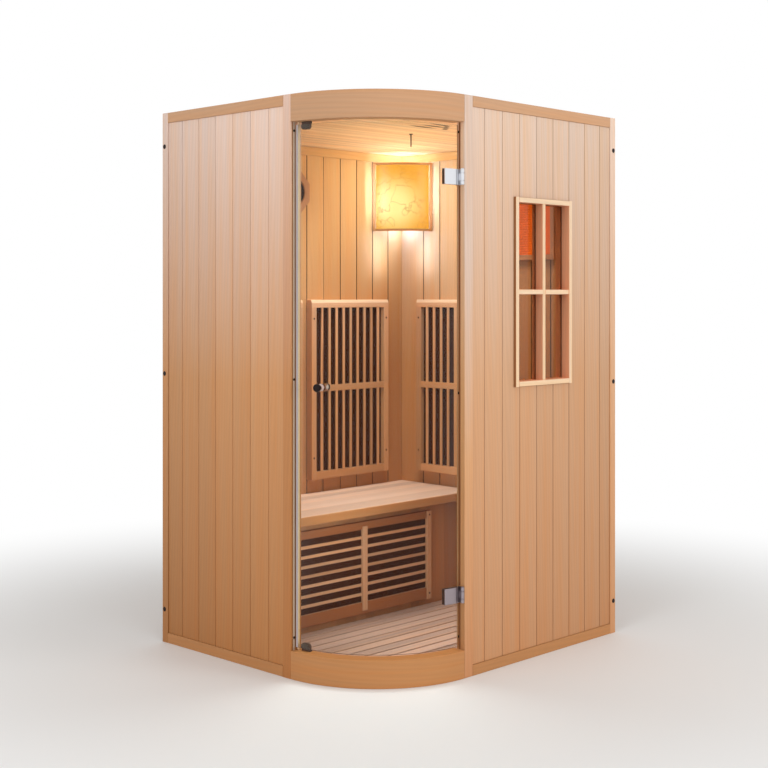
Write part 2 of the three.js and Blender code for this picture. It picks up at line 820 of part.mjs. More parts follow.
/** Floor base and the slats that lie on it. */
function floor() {
  const r = innerRadius - floorMargin;
  const x0 = cornerX - r;
  const y0 = cornerY - r;
  const y1 = halfDepth - wallThickness - benchDepth + benchFrontSetback - floorMargin;
  const room = new THREE.Shape();
  room.moveTo(x0, y1);
  room.lineTo(x0, cornerY);
  room.absarc(cornerX, cornerY, r, Math.PI, Math.PI * 1.5, false);
  room.lineTo(-x0, y0);
  room.lineTo(-x0, y1);
  const bottom = floorBaseThickness + fit;
  const slatBottom = bottom + floorBattenHeight;
  const parts = [];
  for (let y = y1; y > y0 + floorSlatGap; y -= floorSlatWidth + floorSlatGap) {
    const y0Slat = Math.max(y - floorSlatWidth, y0);
    parts.push(box(x0 - overlap, -x0 + overlap, y0Slat, y, slatBottom, floorTop));
  }
  for (let i = 0; i < floorBattens; i++) {
    const xa = -x0 - floorBattenFromSide - i * floorBattenPitch;
    parts.push(box(xa - floorBattenWidth, xa, y0, y1, bottom, slatBottom + overlap));
  }
  const reach = solid(prism(room, bottom - overlap, floorTop + overlap, 12));
  return [
    piece("floor_base", prism(shellOutline(), 0, floorBaseThickness), hemlock()),
    piece("floor_slats", join(...parts).intersect(reach), hemlock()),
  ];
}

/** Ceiling boards, the roof over them, the moulding under them and the power box on top. */
function roof() {
  const z0 = ceilingUnderside;
  const z1 = z0 + ceilingThickness;
  const roofBottom = z1 + fit;
  const roofTop = roofBottom + roofThickness;
  const notches = [];
  for (let y = halfDepth - wallThickness - ceilingBoardPitch; y > -halfDepth; y -= ceilingBoardPitch) {
    const vee = [
      [y - grooveWidth / 2, z0 - overlap],
      [y + grooveWidth / 2, z0 - overlap],
      [y, z0 + grooveDepth],
    ];
    notches.push(prismAlongX(vee, -halfWidth, halfWidth));
  }
  const ceiling = cut(prism(shellOutline(), z0, z1), ...notches);

  const x0 = -halfWidth + wallThickness + fit;
  const y0 = -halfDepth + wallThickness + fit;
  const t = trimThickness;
  const trim = join(
    box(x0, x0 + t, cornerY + latchJambWidth + fit, -y0, trimBottom, trimTop),
    box(x0, -x0, -y0 - t, -y0, trimBottom, trimTop),
    box(-x0 - t, -x0, y0, -y0, trimBottom, trimTop),
    box(cornerX + hingeJambWidth + fit, -x0, y0, y0 + t, trimBottom, trimTop),
  );

  const boxBottom = roofTop + fit;
  const boxX1 = halfWidth - wallThickness - powerBoxFromSide;
  const boxX0 = boxX1 - powerBoxWidth;
  const boxY1 = halfDepth - wallThickness - powerBoxFromBack;
  const boxY0 = boxY1 - powerBoxDepth;
  const inletX = (boxX0 + boxX1) / 2;
  const inletZ = boxBottom + powerBoxHeight / 2;
  const powerBox = join(
    box(boxX0, boxX1, boxY0, boxY1, boxBottom, boxBottom + powerBoxHeight),
    rodAlongY(inletRadius, inletX, inletZ, boxY1 - overlap, boxY1 + inletLength),
  );
  return [
    piece("ceiling_boards", ceiling, hemlock()),
    piece("roof_panel", prism(shellOutline(), roofBottom, roofTop), hemlock()),
    piece("ceiling_trim", trim, hemlock()),
    piece("power_box", powerBox, paintedSteel()),
  ];
}

/** Bench with the foot heater in front, and the heaters behind the seats and on the side wall. */
function bench() {
  const x1 = halfWidth - wallThickness - fit;
  const back = halfDepth - wallThickness - fit;
  const front = halfDepth - wallThickness - benchDepth;
  const panelFront = front + benchFrontSetback;
  const seatBottom = benchHeight - benchThickness;
  const group = new THREE.Group();
  group.add(
    piece("bench_seat", box(-x1, x1, front, back, seatBottom, benchHeight), hemlock()),
    piece(
      "bench_front_panel",
      box(-x1, x1, panelFront, panelFront + benchFrontThickness, floorBaseThickness + fit, seatBottom - fit),
      hemlock(),
    ),
    piece(
      "bench_bearer",
      box(-x1, x1, back - bearerWidth, back, seatBottom - fit - bearerHeight, seatBottom - fit),
      hemlock(),
    ),
  );

  const tall = {
    stile: guardStile,
    topRail: guardTopRail,
    bottomRail: guardBottomRail,
    middle: guardMidRail,
    middleHeight: guardMidRailHeight,
    proud: 0,
    bevelHeight: guardBevelHeight,
    bevelDepth: guardBevelDepth,
  };
  const upright = { upright: true, count: guardSlats, size: guardSlatWidth };
  const seatGuard = (name, x, y, turn) => {
    const place = new THREE.Group();
    place.position.set(x, y, guardBottom);
    place.rotation.z = turn;
    place.add(
      piece(name + "_guard", slattedGuard(guardWidth, guardHeight, guardDepth, tall, upright), hemlock()),
      piece(name + "_element", heaterPanel(guardWidth, guardHeight, tall), darkPanel()),
    );
    return place;
  };
  const guardX = halfWidth - wallThickness - guardFromCorner - guardWidth / 2;
  const guardY = halfDepth - wallThickness - guardFromCorner - guardWidth / 2;
  group.add(
    seatGuard("right_back_heater", guardX, back, 0),
    seatGuard("left_back_heater", -guardX, back, 0),
    seatGuard("side_heater", x1, guardY, -Math.PI / 2),
  );

  const footBottom = floorTop + footGuardFloorGap;
  const footHeight = seatBottom - footGuardTopGap - footBottom;
  const low = {
    stile: footGuardStile,
    topRail: footGuardTopRail,
    bottomRail: footGuardBottomRail,
    middle: footGuardStile,
    proud: footGuardProud,
    topLap: footBattenTopLap,
    bottomLap: footBattenBottomLap,
  };
  const level = { upright: false, count: footGuardSlats, size: footGuardSlatHeight };
  const footGuard = slattedGuard(footGuardWidth, footHeight, footGuardDepth, low, level);
  const foot = new THREE.Group();
  foot.position.set(0, panelFront - fit, footBottom);
  foot.add(
    piece("foot_heater_guard", footGuard, hemlock()),
    piece("foot_heater_element", heaterPanel(footGuardWidth, footHeight, low), darkPanel()),
  );
  group.add(foot);
  return group;
}

/** Lamp across the rear corner. Its own frame has the corner at the origin and the room along -Y. */
function lamp() {
  const group = new THREE.Group();
  group.position.set(halfWidth - wallThickness, halfDepth - wallThickness, 0);
  group.rotation.z = -Math.PI / 4;
  const half = lampFromCorner / Math.SQRT2;
  const z1 = trimBottom - lampBelowTrim;
  const z0 = z1 - lampHeight;
  const bowRadius = (half * half + lampBow * lampBow) / (2 * lampBow);
  const bowY = -half - lampBow + bowRadius;
  const stileOut = half - fit * 2;
  const stileIn = stileOut - lampStileWidth;
  const sweep = Math.asin((stileIn + lampRailTenon) / bowRadius);
  const shadeSweep = Math.asin((stileIn - lampShadeGap) / bowRadius);
  const down = Math.PI * 1.5;
  const bow = (inner, outer, reach, za, zb) =>
    arcBand(inner, outer, down - reach, down + reach, za, zb, 10).translate(0, bowY, 0);
  const rail = (za, zb) => bow(bowRadius - lampStileDepth, bowRadius, sweep, za, zb);
  const stile = (xa, xb) => box(xa, xb, -half - lampStileDepth, -half, z0, z1);
  const shadeOuter = bowRadius - (lampStileDepth - lampShadeThickness) / 2;
  const shade = bow(
    shadeOuter - lampShadeThickness, shadeOuter, shadeSweep,
    z0 + lampRailHeight + fit, z1 - lampRailHeight - fit,
  );

  const plate = lampPlateHalf;
  const halfArm = lampArmWidth / 2;
  const cupY = -lampHolderFromCorner;
  const cupBottom = z0 + lampHolderAboveFrame;
  const cupTop = cupBottom + lampHolderHeight;
  const plateFront = -plate - fit * 2;
  const holder = cut(
    join(
      box(-plate, plate, plateFront - lampPlateThickness, plateFront, cupBottom, cupTop),
      box(-halfArm, halfArm, cupY, plateFront - overlap, cupBottom, cupBottom + lampArmWidth),
      rod(lampHolderRadius, 0, cupY, cupBottom, cupTop, 16),
    ),
    rod(bulbCapRadius + fit, 0, cupY, cupTop - bulbSocketDepth, cupTop + overlap, 16),
  );
  const steps = 8;
  const neckAngle = Math.asin(bulbCapRadius / bulbRadius);
  const capBottom = cupTop - bulbSocketDepth + fit;
  const globe = cupTop + bulbRadius * Math.cos(neckAngle) + bulbCapRadius;
  const bulbProfile = [new THREE.Vector2(0, capBottom), new THREE.Vector2(bulbCapRadius, capBottom)];
  for (let i = 0; i <= steps; i++) {
    const a = neckAngle + ((Math.PI - neckAngle) * i) / steps;
    const r = i < steps ? bulbRadius * Math.sin(a) : 0;
    bulbProfile.push(new THREE.Vector2(r, globe - bulbRadius * Math.cos(a)));
  }
  const bulb = new THREE.LatheGeometry(bulbProfile, 16).rotateX(Math.PI / 2).translate(0, cupY, 0);
  const frame = join(
    rail(z0, z0 + lampRailHeight),
    rail(z1 - lampRailHeight, z1),
    stile(-stileOut, -stileIn),
    stile(stileIn, stileOut),
  );
  group.add(
    piece("lamp_frame", frame, hemlock()),
    piece("lamp_shade", shade, amberShade()),
    piece("lamp_holder", holder, blackPlastic()),
    piece("lamp_bulb", bulb, opalGlass()),
  );
  return group;
}

const cabin = new THREE.Group();
cabin.add(...floor(), walls(), portal(), door(), ...roof(), bench(), lamp());

// The origin is at the bottom centre of the whole cabin, fittings included.
const bounds = new THREE.Box3().setFromObject(cabin);
const middle = bounds.getCenter(new THREE.Vector3());
cabin.position.set(-middle.x, -middle.y, -bounds.min.z);

const root = new THREE.Group();
root.name = "infrared_sauna_cabin";
root.add(cabin);

export default root;
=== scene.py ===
"""Looks of a corner infrared sauna cabin with a bent glass door.

Every piece is in metres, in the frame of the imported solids, and takes its place from them.
"""

import bisect
import logging
import math
import random
from collections import Counter
from dataclasses import dataclass, field
from enum import Enum
from typing import Callable, Sequence

import bmesh
import bpy
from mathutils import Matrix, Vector


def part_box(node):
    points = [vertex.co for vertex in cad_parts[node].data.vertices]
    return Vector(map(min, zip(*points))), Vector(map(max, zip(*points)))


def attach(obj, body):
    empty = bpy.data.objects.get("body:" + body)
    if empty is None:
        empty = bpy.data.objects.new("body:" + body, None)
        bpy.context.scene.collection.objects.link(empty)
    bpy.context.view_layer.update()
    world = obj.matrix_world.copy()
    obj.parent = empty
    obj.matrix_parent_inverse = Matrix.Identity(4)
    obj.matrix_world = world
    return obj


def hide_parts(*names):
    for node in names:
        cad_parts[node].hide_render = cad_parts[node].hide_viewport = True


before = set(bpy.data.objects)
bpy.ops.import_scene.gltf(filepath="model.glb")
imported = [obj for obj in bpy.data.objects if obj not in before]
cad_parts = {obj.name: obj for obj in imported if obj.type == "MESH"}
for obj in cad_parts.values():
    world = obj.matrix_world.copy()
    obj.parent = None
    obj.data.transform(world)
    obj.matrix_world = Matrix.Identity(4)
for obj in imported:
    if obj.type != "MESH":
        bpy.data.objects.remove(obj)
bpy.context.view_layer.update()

LOG = logging.getLogger("sauna_cabin")
MM = 0.001
UP = Vector((0.0, 0.0, 1.0))
LEFT = Vector((-1.0, 0.0, 0.0))
FRONT = Vector((0.0, -1.0, 0.0))
WHITE = (1.0, 1.0, 1.0, 1.0)
SMOOTH_UNDER = math.radians(38)
# Corners of a solid nearer than this are one, and faces that bend less than this are one.
MERGE_WITHIN = 0.001 * MM
FLAT_UNDER = math.radians(0.4)
BOARD_ROUNDING = 0.8 * MM
# How near to a depth a corner has to lie to count as at that depth.
SKIN = 0.1 * MM
LEVEL_WITHIN = 0.05 * MM
# Faces that slope this much across the boards are the sides of the notches between them.
NOTCH_SLOPES = (0.3, 0.97)
# The angles, seen from above, at which the rounded corner starts and ends.
CORNER_START = math.pi
CORNER_END = 1.5 * math.pi

Box = tuple[Vector, Vector]
Pair = tuple[float, float]
Point = tuple[float, float, float]
Mesh = bpy.types.Mesh
Socket = bpy.types.NodeSocket
Outputs = bpy.types.NodeOutputs
Input = Socket | float | tuple[float, ...]


class Axis(Enum):
    """An axis of the shared frame, as the way that a piece runs."""

    X = 0
    Y = 1
    Z = 2

    @property
    def vector(self) -> Vector:
        """The unit vector along this axis."""
        return Vector([float(i == self.value) for i in range(3)])


class Slot(Enum):
    """The material slots of the record."""

    HEMLOCK = "hemlock"
    HEATER = "heater_panel"
    DOOR_GLASS = "door_glass"
    CHROME = "chrome"
    BLACK_PLASTIC = "black_plastic"
    GREY_PLASTIC = "grey_plastic"
    SHADE = "lamp_shade"
    BULB = "bulb"
    ORANGE = "orange_diffuser"
    STEEL = "painted_steel"


def linear(colour: str) -> tuple[float, float, float, float]:
    """Turn an sRGB hex value into a linear colour.

    Args:
        colour: Six hex digits after a hash.

    Returns:
        Linear red, green, blue and full alpha.
    """
    parts = [int(colour[i : i + 2], 16) / 255 for i in (1, 3, 5)]
    return (*[p / 12.92 if p <= 0.04045 else ((p + 0.055) / 1.055) ** 2.4 for p in parts], 1.0)


@dataclass
class Graph:
    """A node tree, with a short way to add each kind of node that is needed often."""

    tree: bpy.types.NodeTree

    def add(
        self, kind: str, inputs: dict[str | int, object] | None = None, **settings: object
    ) -> bpy.types.Node:
        """Add one node with its settings and links.

        Args:
            kind: The node's type.
            inputs: A constant, or a socket to link, for each input by its name or index.
            settings: The node's own properties.

        Returns:
            The new node.
        """
        made = self.tree.nodes.new(kind)
        for name, value in settings.items():
            setattr(made, name, value)
        for key, value in (inputs or {}).items():
            if isinstance(value, Socket):
                self.tree.links.new(value, made.inputs[key])
            else:
                made.inputs[key].default_value = value
        return made

    def math(self, operation: str, *values: Input, clamp: bool = False) -> Socket:
        """A number worked out from others."""
        inputs = dict(enumerate(values))
        return self.add("ShaderNodeMath", inputs, operation=operation, use_clamp=clamp).outputs[0]

    def vector(self, operation: str, *values: Input) -> Socket:
        """A vector worked out from others, or their length or distance."""
        made = self.add("ShaderNodeVectorMath", dict(enumerate(values)), operation=operation)
        return made.outputs["Value" if operation in ("LENGTH", "DISTANCE") else 0]

    def scaled(self, vector: Input, factor: Input) -> Socket:
        """A vector or a colour, times a number."""
        return self.add("ShaderNodeVectorMath", {0: vector, "Scale": factor}, operation="SCALE").outputs[0]

    def combined(self, *parts: Input) -> Socket:
        """A vector of three numbers."""
        return self.add("ShaderNodeCombineXYZ", dict(enumerate(parts))).outputs[0]

    def remap(
        self, value: Input, low: float = 0.0, high: float = 1.0, first: float = 0.0, last: float = 1.0,
        smooth: bool = False,
    ) -> Socket:
        """Move a number from one range into another, and keep it inside.

        Args:
            value: The number.
            low: The value that becomes first.
            high: The value that becomes last.
            first: The start of the new range.
            last: The end of the new range.
            smooth: Whether it eases in and out.

        Returns:
            The socket of the moved number.
        """
        inputs = {"Value": value, "From Min": low, "From Max": high, "To Min": first, "To Max": last}
        kind = "SMOOTHSTEP" if smooth else "LINEAR"
        return self.add("ShaderNodeMapRange", inputs, interpolation_type=kind).outputs[0]

    def mix(self, share: Input, first: Input, second: Input) -> Socket:
        """A colour between two others."""
        return self.add("ShaderNodeMix", {0: share, 6: first, 7: second}, data_type="RGBA").outputs[2]

    def blend(self, share: Socket, first: Socket, second: Socket) -> Socket:
        """A shader between two others."""
        return self.add("ShaderNodeMixShader", {0: share, 1: first, 2: second}).outputs[0]

    def noise(self, vector: Socket, scale: float, detail: float) -> Outputs:
        """Soft noise, first as a number and then as a colour."""
        return self.add("ShaderNodeTexNoise", {"Vector": vector, "Scale": scale, "Detail": detail}).outputs

    def here(self) -> Socket:
        """The place that is being shaded."""
        return self.add("ShaderNodeTexCoord").outputs["Object"]

    def attribute(self, name: str, output: str = "Fac") -> Socket:
        """A value that the mesh carries."""
        return self.add("ShaderNodeAttribute", attribute_name=name).outputs[output]

    def bump(self, height: Socket, strength: float, distance: float) -> Socket:
        """A normal tilted by small heights."""
        inputs = {"Height": height, "Strength": strength, "Distance": distance}
        return self.add("ShaderNodeBump", inputs).outputs[0]

    def surface(self, inputs: dict[str, Input]) -> Socket:
        """A surface of the usual kind."""
        return self.add("ShaderNodeBsdfPrincipled", inputs).outputs[0]

    def seen(self) -> Socket:
        """Tell the rays that show the background: straight, mirrored or through glass.

        Returns:
            The socket of a number, which is one for such a ray.
        """
        ray = self.add("ShaderNodeLightPath").outputs
        either = self.math("MAXIMUM", ray["Is Camera Ray"], ray["Is Glossy Ray"])
        return self.math("MAXIMUM", either, ray["Is Transmission Ray"])

    def stored(self, geometry: Socket, name: str, value: Socket, kind: str = "FLOAT_VECTOR") -> Socket:
        """Geometry that carries a named value."""
        inputs = {"Geometry": geometry, "Name": name, "Value": value}
        return self.add("GeometryNodeStoreNamedAttribute", inputs, data_type=kind).outputs[0]

    def carried(self, name: str, kind: str = "FLOAT_VECTOR") -> Socket:
        """A named value that geometry carries."""
        return self.add("GeometryNodeInputNamedAttribute", {"Name": name}, data_type=kind).outputs[0]


@dataclass(frozen=True)
class Finish:
    """A surface finish, which makes its material the first time that it is asked for."""

    name: str

    def material(self) -> bpy.types.Material:
        """Find the material of this finish, or make it.

        Returns:
            The material.
        """
        made = bpy.data.materials.get(self.name)
        if made is None:
            made = bpy.data.materials.new(self.name)
            made.use_nodes = True
            made.node_tree.nodes.clear()
            graph = Graph(made.node_tree)
            graph.add("ShaderNodeOutputMaterial", {"Surface": self.shade(graph)})
        return made

    def shade(self, graph: Graph) -> Socket:
        """Build the finish's nodes.

        Args:
            graph: The material's empty tree.

        Returns:
            The socket of the finished shader.
        """
        raise NotImplementedError


@dataclass(frozen=True)
class Hemlock(Finish):
    """Planed hemlock with a satin oil: straight pale grain, pinkish above and honey brown lower down.

    A piece made here carries its own grain as an attribute. A bare solid is given its run instead.
    The change of colour with height is partly painted light, paler above where more light falls.
    """

    run: Axis | None = None
    low: str = "#B27C50"
    middle: str = "#C89669"
    high: str = "#E2C4AE"
    tall: float = 1900 * MM
    streak: float = 24 * MM
    streak_stretch: float = 40.0
    streak_weight: float = 0.16
    # Real fibres are a third of a millimetre wide, and are drawn wider here so that they show.
    fibre: float = 3.5 * MM
    fibre_stretch: float = 45.0
    fibre_weight: float = 0.13
    ring: float = 15 * MM
    ring_slope: float = 0.045
    figure: float = 0.05
    variety: float = 0.08
    # Each board is cut from another place in the log.
    shift: Point = (17.3, 5.1, 29.7)
    # Strong streaks are tinted, from the first of these strengths to the second.
    tinted_streaks: Pair = (0.42, 0.7)
    streak_tint: Point = (0.99, 0.88, 0.74)
    roughness: Pair = (0.46, 0.62)
    gloss: float = 0.35
    relief: float = 0.3
    relief_height: float = 0.3 * MM
    # Each dark knot or streak is the middle of an ellipsoid and its half sizes.
    knots: tuple[tuple[Point, Point], ...] = ()
    knot_darkness: float = 0.85
    # The share of a knot, from its middle, that is fully dark.
    knot_core: float = 0.5

    def shade(self, graph: Graph) -> Socket:
        """Build streaks, growth rings and fibres along the grain, over a tone for each board."""
        here = graph.here()
        parts = graph.add("ShaderNodeSeparateXYZ", {0: here}).outputs
        tone = graph.attribute("tone")
        if self.run is None:
            grain = graph.attribute("grain", "Vector")
        else:
            grain = graph.combined(*[parts[(self.run.value + i) % 3] for i in (1, 2, 0)])
        board = graph.vector("ADD", grain, graph.scaled(self.shift, tone))
        streaks, fibres = (
            graph.noise(graph.vector("MULTIPLY", board, (1 / wide, 1 / wide, 1 / long)), 1.0, detail)[0]
            for wide, long, detail in (
                (self.streak, self.streak * self.streak_stretch, 4.0),
                (self.fibre, self.fibre * self.fibre_stretch, 2.0),
            )
        )
        inputs = {
            "Vector": graph.vector("MULTIPLY", board, (1.0, 1.0, self.ring_slope)),
            "Scale": math.pi / 5 / self.ring,
            "Distortion": 7.0,
            "Detail": 2.0,
            "Detail Scale": 0.6,
        }
        rings = graph.add("ShaderNodeTexWave", inputs, bands_direction="DIAGONAL").outputs["Fac"]
        weights = (self.streak_weight, self.fibre_weight, self.figure, self.variety)
        value: Input = 1 - sum(weights) / 2
        for layer, weight in zip((streaks, fibres, rings, tone), weights):
            value = graph.math("MULTIPLY_ADD", layer, weight, value)
        light = graph.math("SUBTRACT", 1.0, self.darkness(graph, here, fibres), clamp=True)

        # Colour by height is partly painted light: paler above, where more light falls.
        ramp = graph.add("ShaderNodeValToRGB", {"Fac": graph.remap(parts["Z"], high=self.tall)})
        stops = ramp.color_ramp.elements
        stops[0].color = linear(self.low)
        stops[1].color = linear(self.high)
        stops.new(0.5).color = linear(self.middle)
        shaded = graph.scaled(ramp.outputs[0], graph.math("MULTIPLY", value, light))
        tinted = graph.vector("MULTIPLY", shaded, self.streak_tint)
        return graph.surface({
            "Base Color": graph.mix(graph.remap(streaks, *self.tinted_streaks), shaded, tinted),
            "Roughness": graph.remap(fibres, 0.0, 1.0, *self.roughness),
            "Normal": graph.bump(fibres, self.relief, self.relief_height),
            "Specular IOR Level": self.gloss,
        })

    def darkness(self, graph: Graph, here: Socket, fibres: Socket) -> Socket:
        """How dark the joints and the knots make the wood.

        Args:
            graph: The material's tree.
            here: The place that is being shaded.
            fibres: The noise of the fibres, which breaks up the darkening in the joints.

        Returns:
            The socket of a number, from zero for clean wood.
        """
        groove = graph.attribute("groove")
        dark = graph.math("ADD", graph.math("MULTIPLY", groove, fibres), groove)
        for middle, half in self.knots:
            away = graph.vector("SUBTRACT", here, middle)
            away = graph.vector("MULTIPLY", away, tuple(1 / size for size in half))
            far = graph.vector("LENGTH", away)
            knot = graph.remap(far, self.knot_core, 1.0, self.knot_darkness, 0.0)
            dark = graph.math("MAXIMUM", dark, knot)
        return dark


@dataclass(frozen=True)
class Moulded(Finish):
    """A moulded, coated or plated surface: one colour, broken by a fine grit in tone, gloss and bump."""

    colour: str = "#808080"
    roughness: float = 0.4
    metallic: float = 0.0
    grit: float = 1.5 * MM
    variety: float = 0.12
    bump: float = 0.05
    bump_height: float = 0.1 * MM
    gloss: float = 0.5

    def shade(self, graph: Graph) -> Socket:
        """Build the grit and let it vary colour, roughness and height a little."""
        grit = graph.noise(graph.here(), 1 / self.grit, 3.0)[0]
        shade = graph.remap(grit, first=1 - self.variety, last=1 + self.variety)
        return graph.surface({
            "Base Color": graph.scaled(linear(self.colour)[:3], shade),
            "Roughness": graph.math("MULTIPLY", shade, self.roughness),
            "Metallic": self.metallic,
            "Specular IOR Level": self.gloss,
            "Normal": graph.bump(grit, self.bump, self.bump_height),
        })


@dataclass(frozen=True)
class FloatGlass(Finish):
    """Polished float glass: clear, with a faint tint and a few smears, seen mostly by what it mirrors."""

    tint: str = "#F6FBF8"
    smear: float = 180 * MM
    smear_roughness: float = 0.03
    mirror: float = 0.2

    def shade(self, graph: Graph) -> Socket:
        """Build clear glass that lets the light of the lamps through."""
        smears = graph.noise(graph.here(), 1 / self.smear, 4.0)[0]
        pane = graph.surface({
            "Base Color": linear(self.tint),
            "Roughness": graph.remap(smears, last=self.smear_roughness),
            "IOR": 1.45,
            "Transmission Weight": 1.0,
            "Specular Tint": (self.mirror, self.mirror, self.mirror, 1.0),
        })
        through = graph.add("ShaderNodeBsdfTransparent", {"Color": linear(self.tint)}).outputs[0]
        ray = graph.add("ShaderNodeLightPath").outputs
        light = graph.math("MAXIMUM", ray["Is Shadow Ray"], ray["Is Diffuse Ray"])
        return graph.blend(light, pane, through)


@dataclass(frozen=True)
class Alabaster(Finish):
    """A veined amber shade lit from behind: pale yellow over the bulb, orange at the rim, brown veins."""

    core: str = "#FFEC92"
    rim: str = "#F9AA2C"
    vein: str = "#D98A2A"
    bulb: Point = (0.0, 0.0, 0.0)
    reach: float = 150 * MM
    vein_spacing: float = 125 * MM
    vein_width: float = 0.022
    vein_depth: float = 0.7
    # The veins sway by a noise of this scale, and by this much of it.
    sway_scale: float = 11.0
    sway: float = 0.22
    # The share of the reach, from the bulb, that is as pale as the core.
    hot_share: float = 0.2
    glow: float = 0.81
    reflected: float = 0.15

    def shade(self, graph: Graph) -> Socket:
        """Build the glow round the bulb and the veins across it."""
        here = graph.here()
        sway = graph.scaled(graph.noise(here, self.sway_scale, 3.0)[1], self.sway)
        inputs = {"Vector": graph.vector("ADD", here, sway), "Scale": 1 / self.vein_spacing}
        cells = graph.add("ShaderNodeTexVoronoi", inputs, feature="DISTANCE_TO_EDGE").outputs["Distance"]
        vein = graph.remap(cells, 0.0, self.vein_width, self.vein_depth, 0.0)
        far = graph.vector("DISTANCE", here, self.bulb)
        hot = graph.remap(far, self.hot_share * self.reach, self.reach, 1.0, 0.0, smooth=True)
        plain = graph.mix(hot, linear(self.rim), linear(self.core))
        lit = graph.mix(vein, plain, linear(self.vein))
        return graph.surface({
            "Base Color": graph.scaled(lit, self.reflected),
            "Roughness": 0.5,
            "Emission Color": lit,
            "Emission Strength": self.glow,
        })


@dataclass(frozen=True)
class Lit(Finish):
    """A translucent plastic or opal glass lit from inside, a little uneven as such light is."""

    colour: str = "#FFE9C4"
    strength: float = 1.0
    patch: float = 60 * MM
    uneven: Pair = (0.8, 1.15)

    def shade(self, graph: Graph) -> Socket:
        """Build the glow with soft brighter and darker patches."""
        patches = graph.noise(graph.here(), 1 / self.patch, 2.0)[0]
        colour = graph.scaled(linear(self.colour)[:3], graph.remap(patches, 0.0, 1.0, *self.uneven))
        return graph.surface({
            "Base Color": colour,
            "Roughness": 0.4,
            "Emission Color": colour,
            "Emission Strength": self.strength,
        })


@dataclass(frozen=True)
class StudioVinyl(Finish):
    """Pale matt vinyl that takes a soft shadow, and fades into white away from the cabin."""

    colour: str = "#E9E8E6"
    fade: Pair = (1.1, 3.0)

    def shade(self, graph: Graph) -> Socket:
        """Build the vinyl, and white over it further out."""
        far = graph.vector("LENGTH", graph.here())
        share = graph.math("MULTIPLY", graph.remap(far, *self.fade, smooth=True), graph.seen())
        matt = graph.surface({"Base Color": linear(self.colour), "Roughness": 0.7})
        white = graph.add("ShaderNodeEmission", {"Strength": 1.0}).outputs[0]
        return graph.blend(share, matt, white)


def even(name: str, tone: str, **rest: float) -> Hemlock:
    """Hemlock of one tone from the floor to the ceiling."""
    return Hemlock(name, low=tone, middle=tone, high=tone, **rest)


WOOD = Hemlock("planed_hemlock")
# The left panel is honey brown and the right one paler: painted shade on the left, painted light on the
# right.
SHADED_SIDE_HONEY = Hemlock("planed_hemlock_honey_shaded_side", low="#A76F3D", middle="#C28E61", high="#E1C8BB", variety=0.2)
LIT_SIDE_ROSE = Hemlock("planed_hemlock_rose_lit_side", low="#B5835B", middle="#C49874", high="#D4BBA9", variety=0.2)
# The latch post is redder than the boards beside it.
POST = Hemlock("planed_hemlock_post", low="#AA6E3B", middle="#C08452", high="#DFC0B0")
# The hinge post is pinker, and pale from the height of the window up, where its ramp tops out:
# partly painted light from above.
HINGE_POST = Hemlock(
    "planed_hemlock_hinge_post", low="#BC855C", middle="#CF9C70", high="#D3BBAC", tall=1400 * MM
)
# The lining is painted golden high up, most of all behind the bench: painted warm lamplight.
LAMPLIT_GOLDEN = Hemlock("planed_hemlock_painted_lamplight", middle="#B88252", high="#E4C088")
LAMPLIT_PALE_GOLD = Hemlock("planed_hemlock_painted_pale_lamplight", middle="#C4925F", high="#E2CCAE")
# Rails are cut from darker, browner staves than boards.
RAIL = Hemlock("planed_hemlock_rails", low="#B17B4B", middle="#B98659", high="#C29774", streak_weight=0.24)
# Sapwood, almost cream, makes the window's frame and bars.
# On the guards' top bevels the same cream is painted light from above.
CREAM = Hemlock("planed_hemlock_cream", low="#E0C29E", middle="#E2C5A4", high="#E4C9AB")
# The seat is sanded and shows every stave; its pale top is partly painted light from above.
PALE_SEAT = even("pale_seat_hemlock", "#D6BAA5", variety=0.36, streak_weight=0.42, streak=14 * MM)
# Feet have darkened the duckboard, slat by slat.
DUCKBOARD = Hemlock("worn_hemlock", low="#C6A898", variety=0.6, streak_weight=0.7, streak=12 * MM)
# The window's rim is much darker than its face.
DARK_RIM = even("hemlock_dark_rim", "#93643F")
# The foot guard's uprights and slats are pale, and its rails red and darker: partly red wood, partly painted
# shade under the bench.
PALE = Hemlock("planed_hemlock_pale", low="#CFA07C", middle="#CFA07C", high="#DCB393", variety=0.24)
RED_RAILS_AND_SHADE = Hemlock("planed_hemlock_red_rails_and_shade", low="#A0663F", middle="#A0663F")
# The window's reveals and inner frame are painted ruddy: painted warm bounce light in the window's shade.
BOUNCE_LIT_RUDDY = even("planed_hemlock_ruddy_painted_bounce", "#E6A680")
# A dark brown frame stands out round the lit shade.
DARK_BROWN_FRAME = even("dark_brown_hemlock", "#A67442")
# Slats of the guards differ in tone, one from the next.
SLATS = Hemlock("planed_hemlock_slats", variety=0.34, streak_weight=0.24)
# Staves of the panel under the bench differ more in tone than wall boards do.
STAVES = Hemlock("planed_hemlock_staves", low="#BE8A60", middle="#C89669", variety=0.3, streak_weight=0.24)
# The floor under the duckboard is painted dark: painted shade under the slats, and dust.
SUBFLOOR = Hemlock("hemlock_floor_base", Axis.X, low="#7C553A")
# The bearer under the seat is plain wood, with its grain along the wall.
BEARER = Hemlock("hemlock_bench_bearer", Axis.X)
# Clear glass shows mostly as a faint mirror.
DOOR_GLASS = FloatGlass("clear_bent_float_glass")
# A ground and polished edge scatters light, so that it shows as a grey line.
# The band of the same grey on the glass beside the latch edge is a painted highlight.
GLASS_EDGE = Moulded("polished_glass_edge", "#B3AAAC", 0.3, variety=0.08)
# On the hinge side the edge is painted the brown of the jamb: a painted reflection of the jamb in its shade.
JAMB_BROWN_EDGE = Moulded("glass_edge_painted_jamb_brown", "#A87C58", 0.6, variety=0.08)
# Bronze glass dims and warms what lies behind it.
WINDOW_GLASS = FloatGlass("bronze_float_glass", "#B79F88")
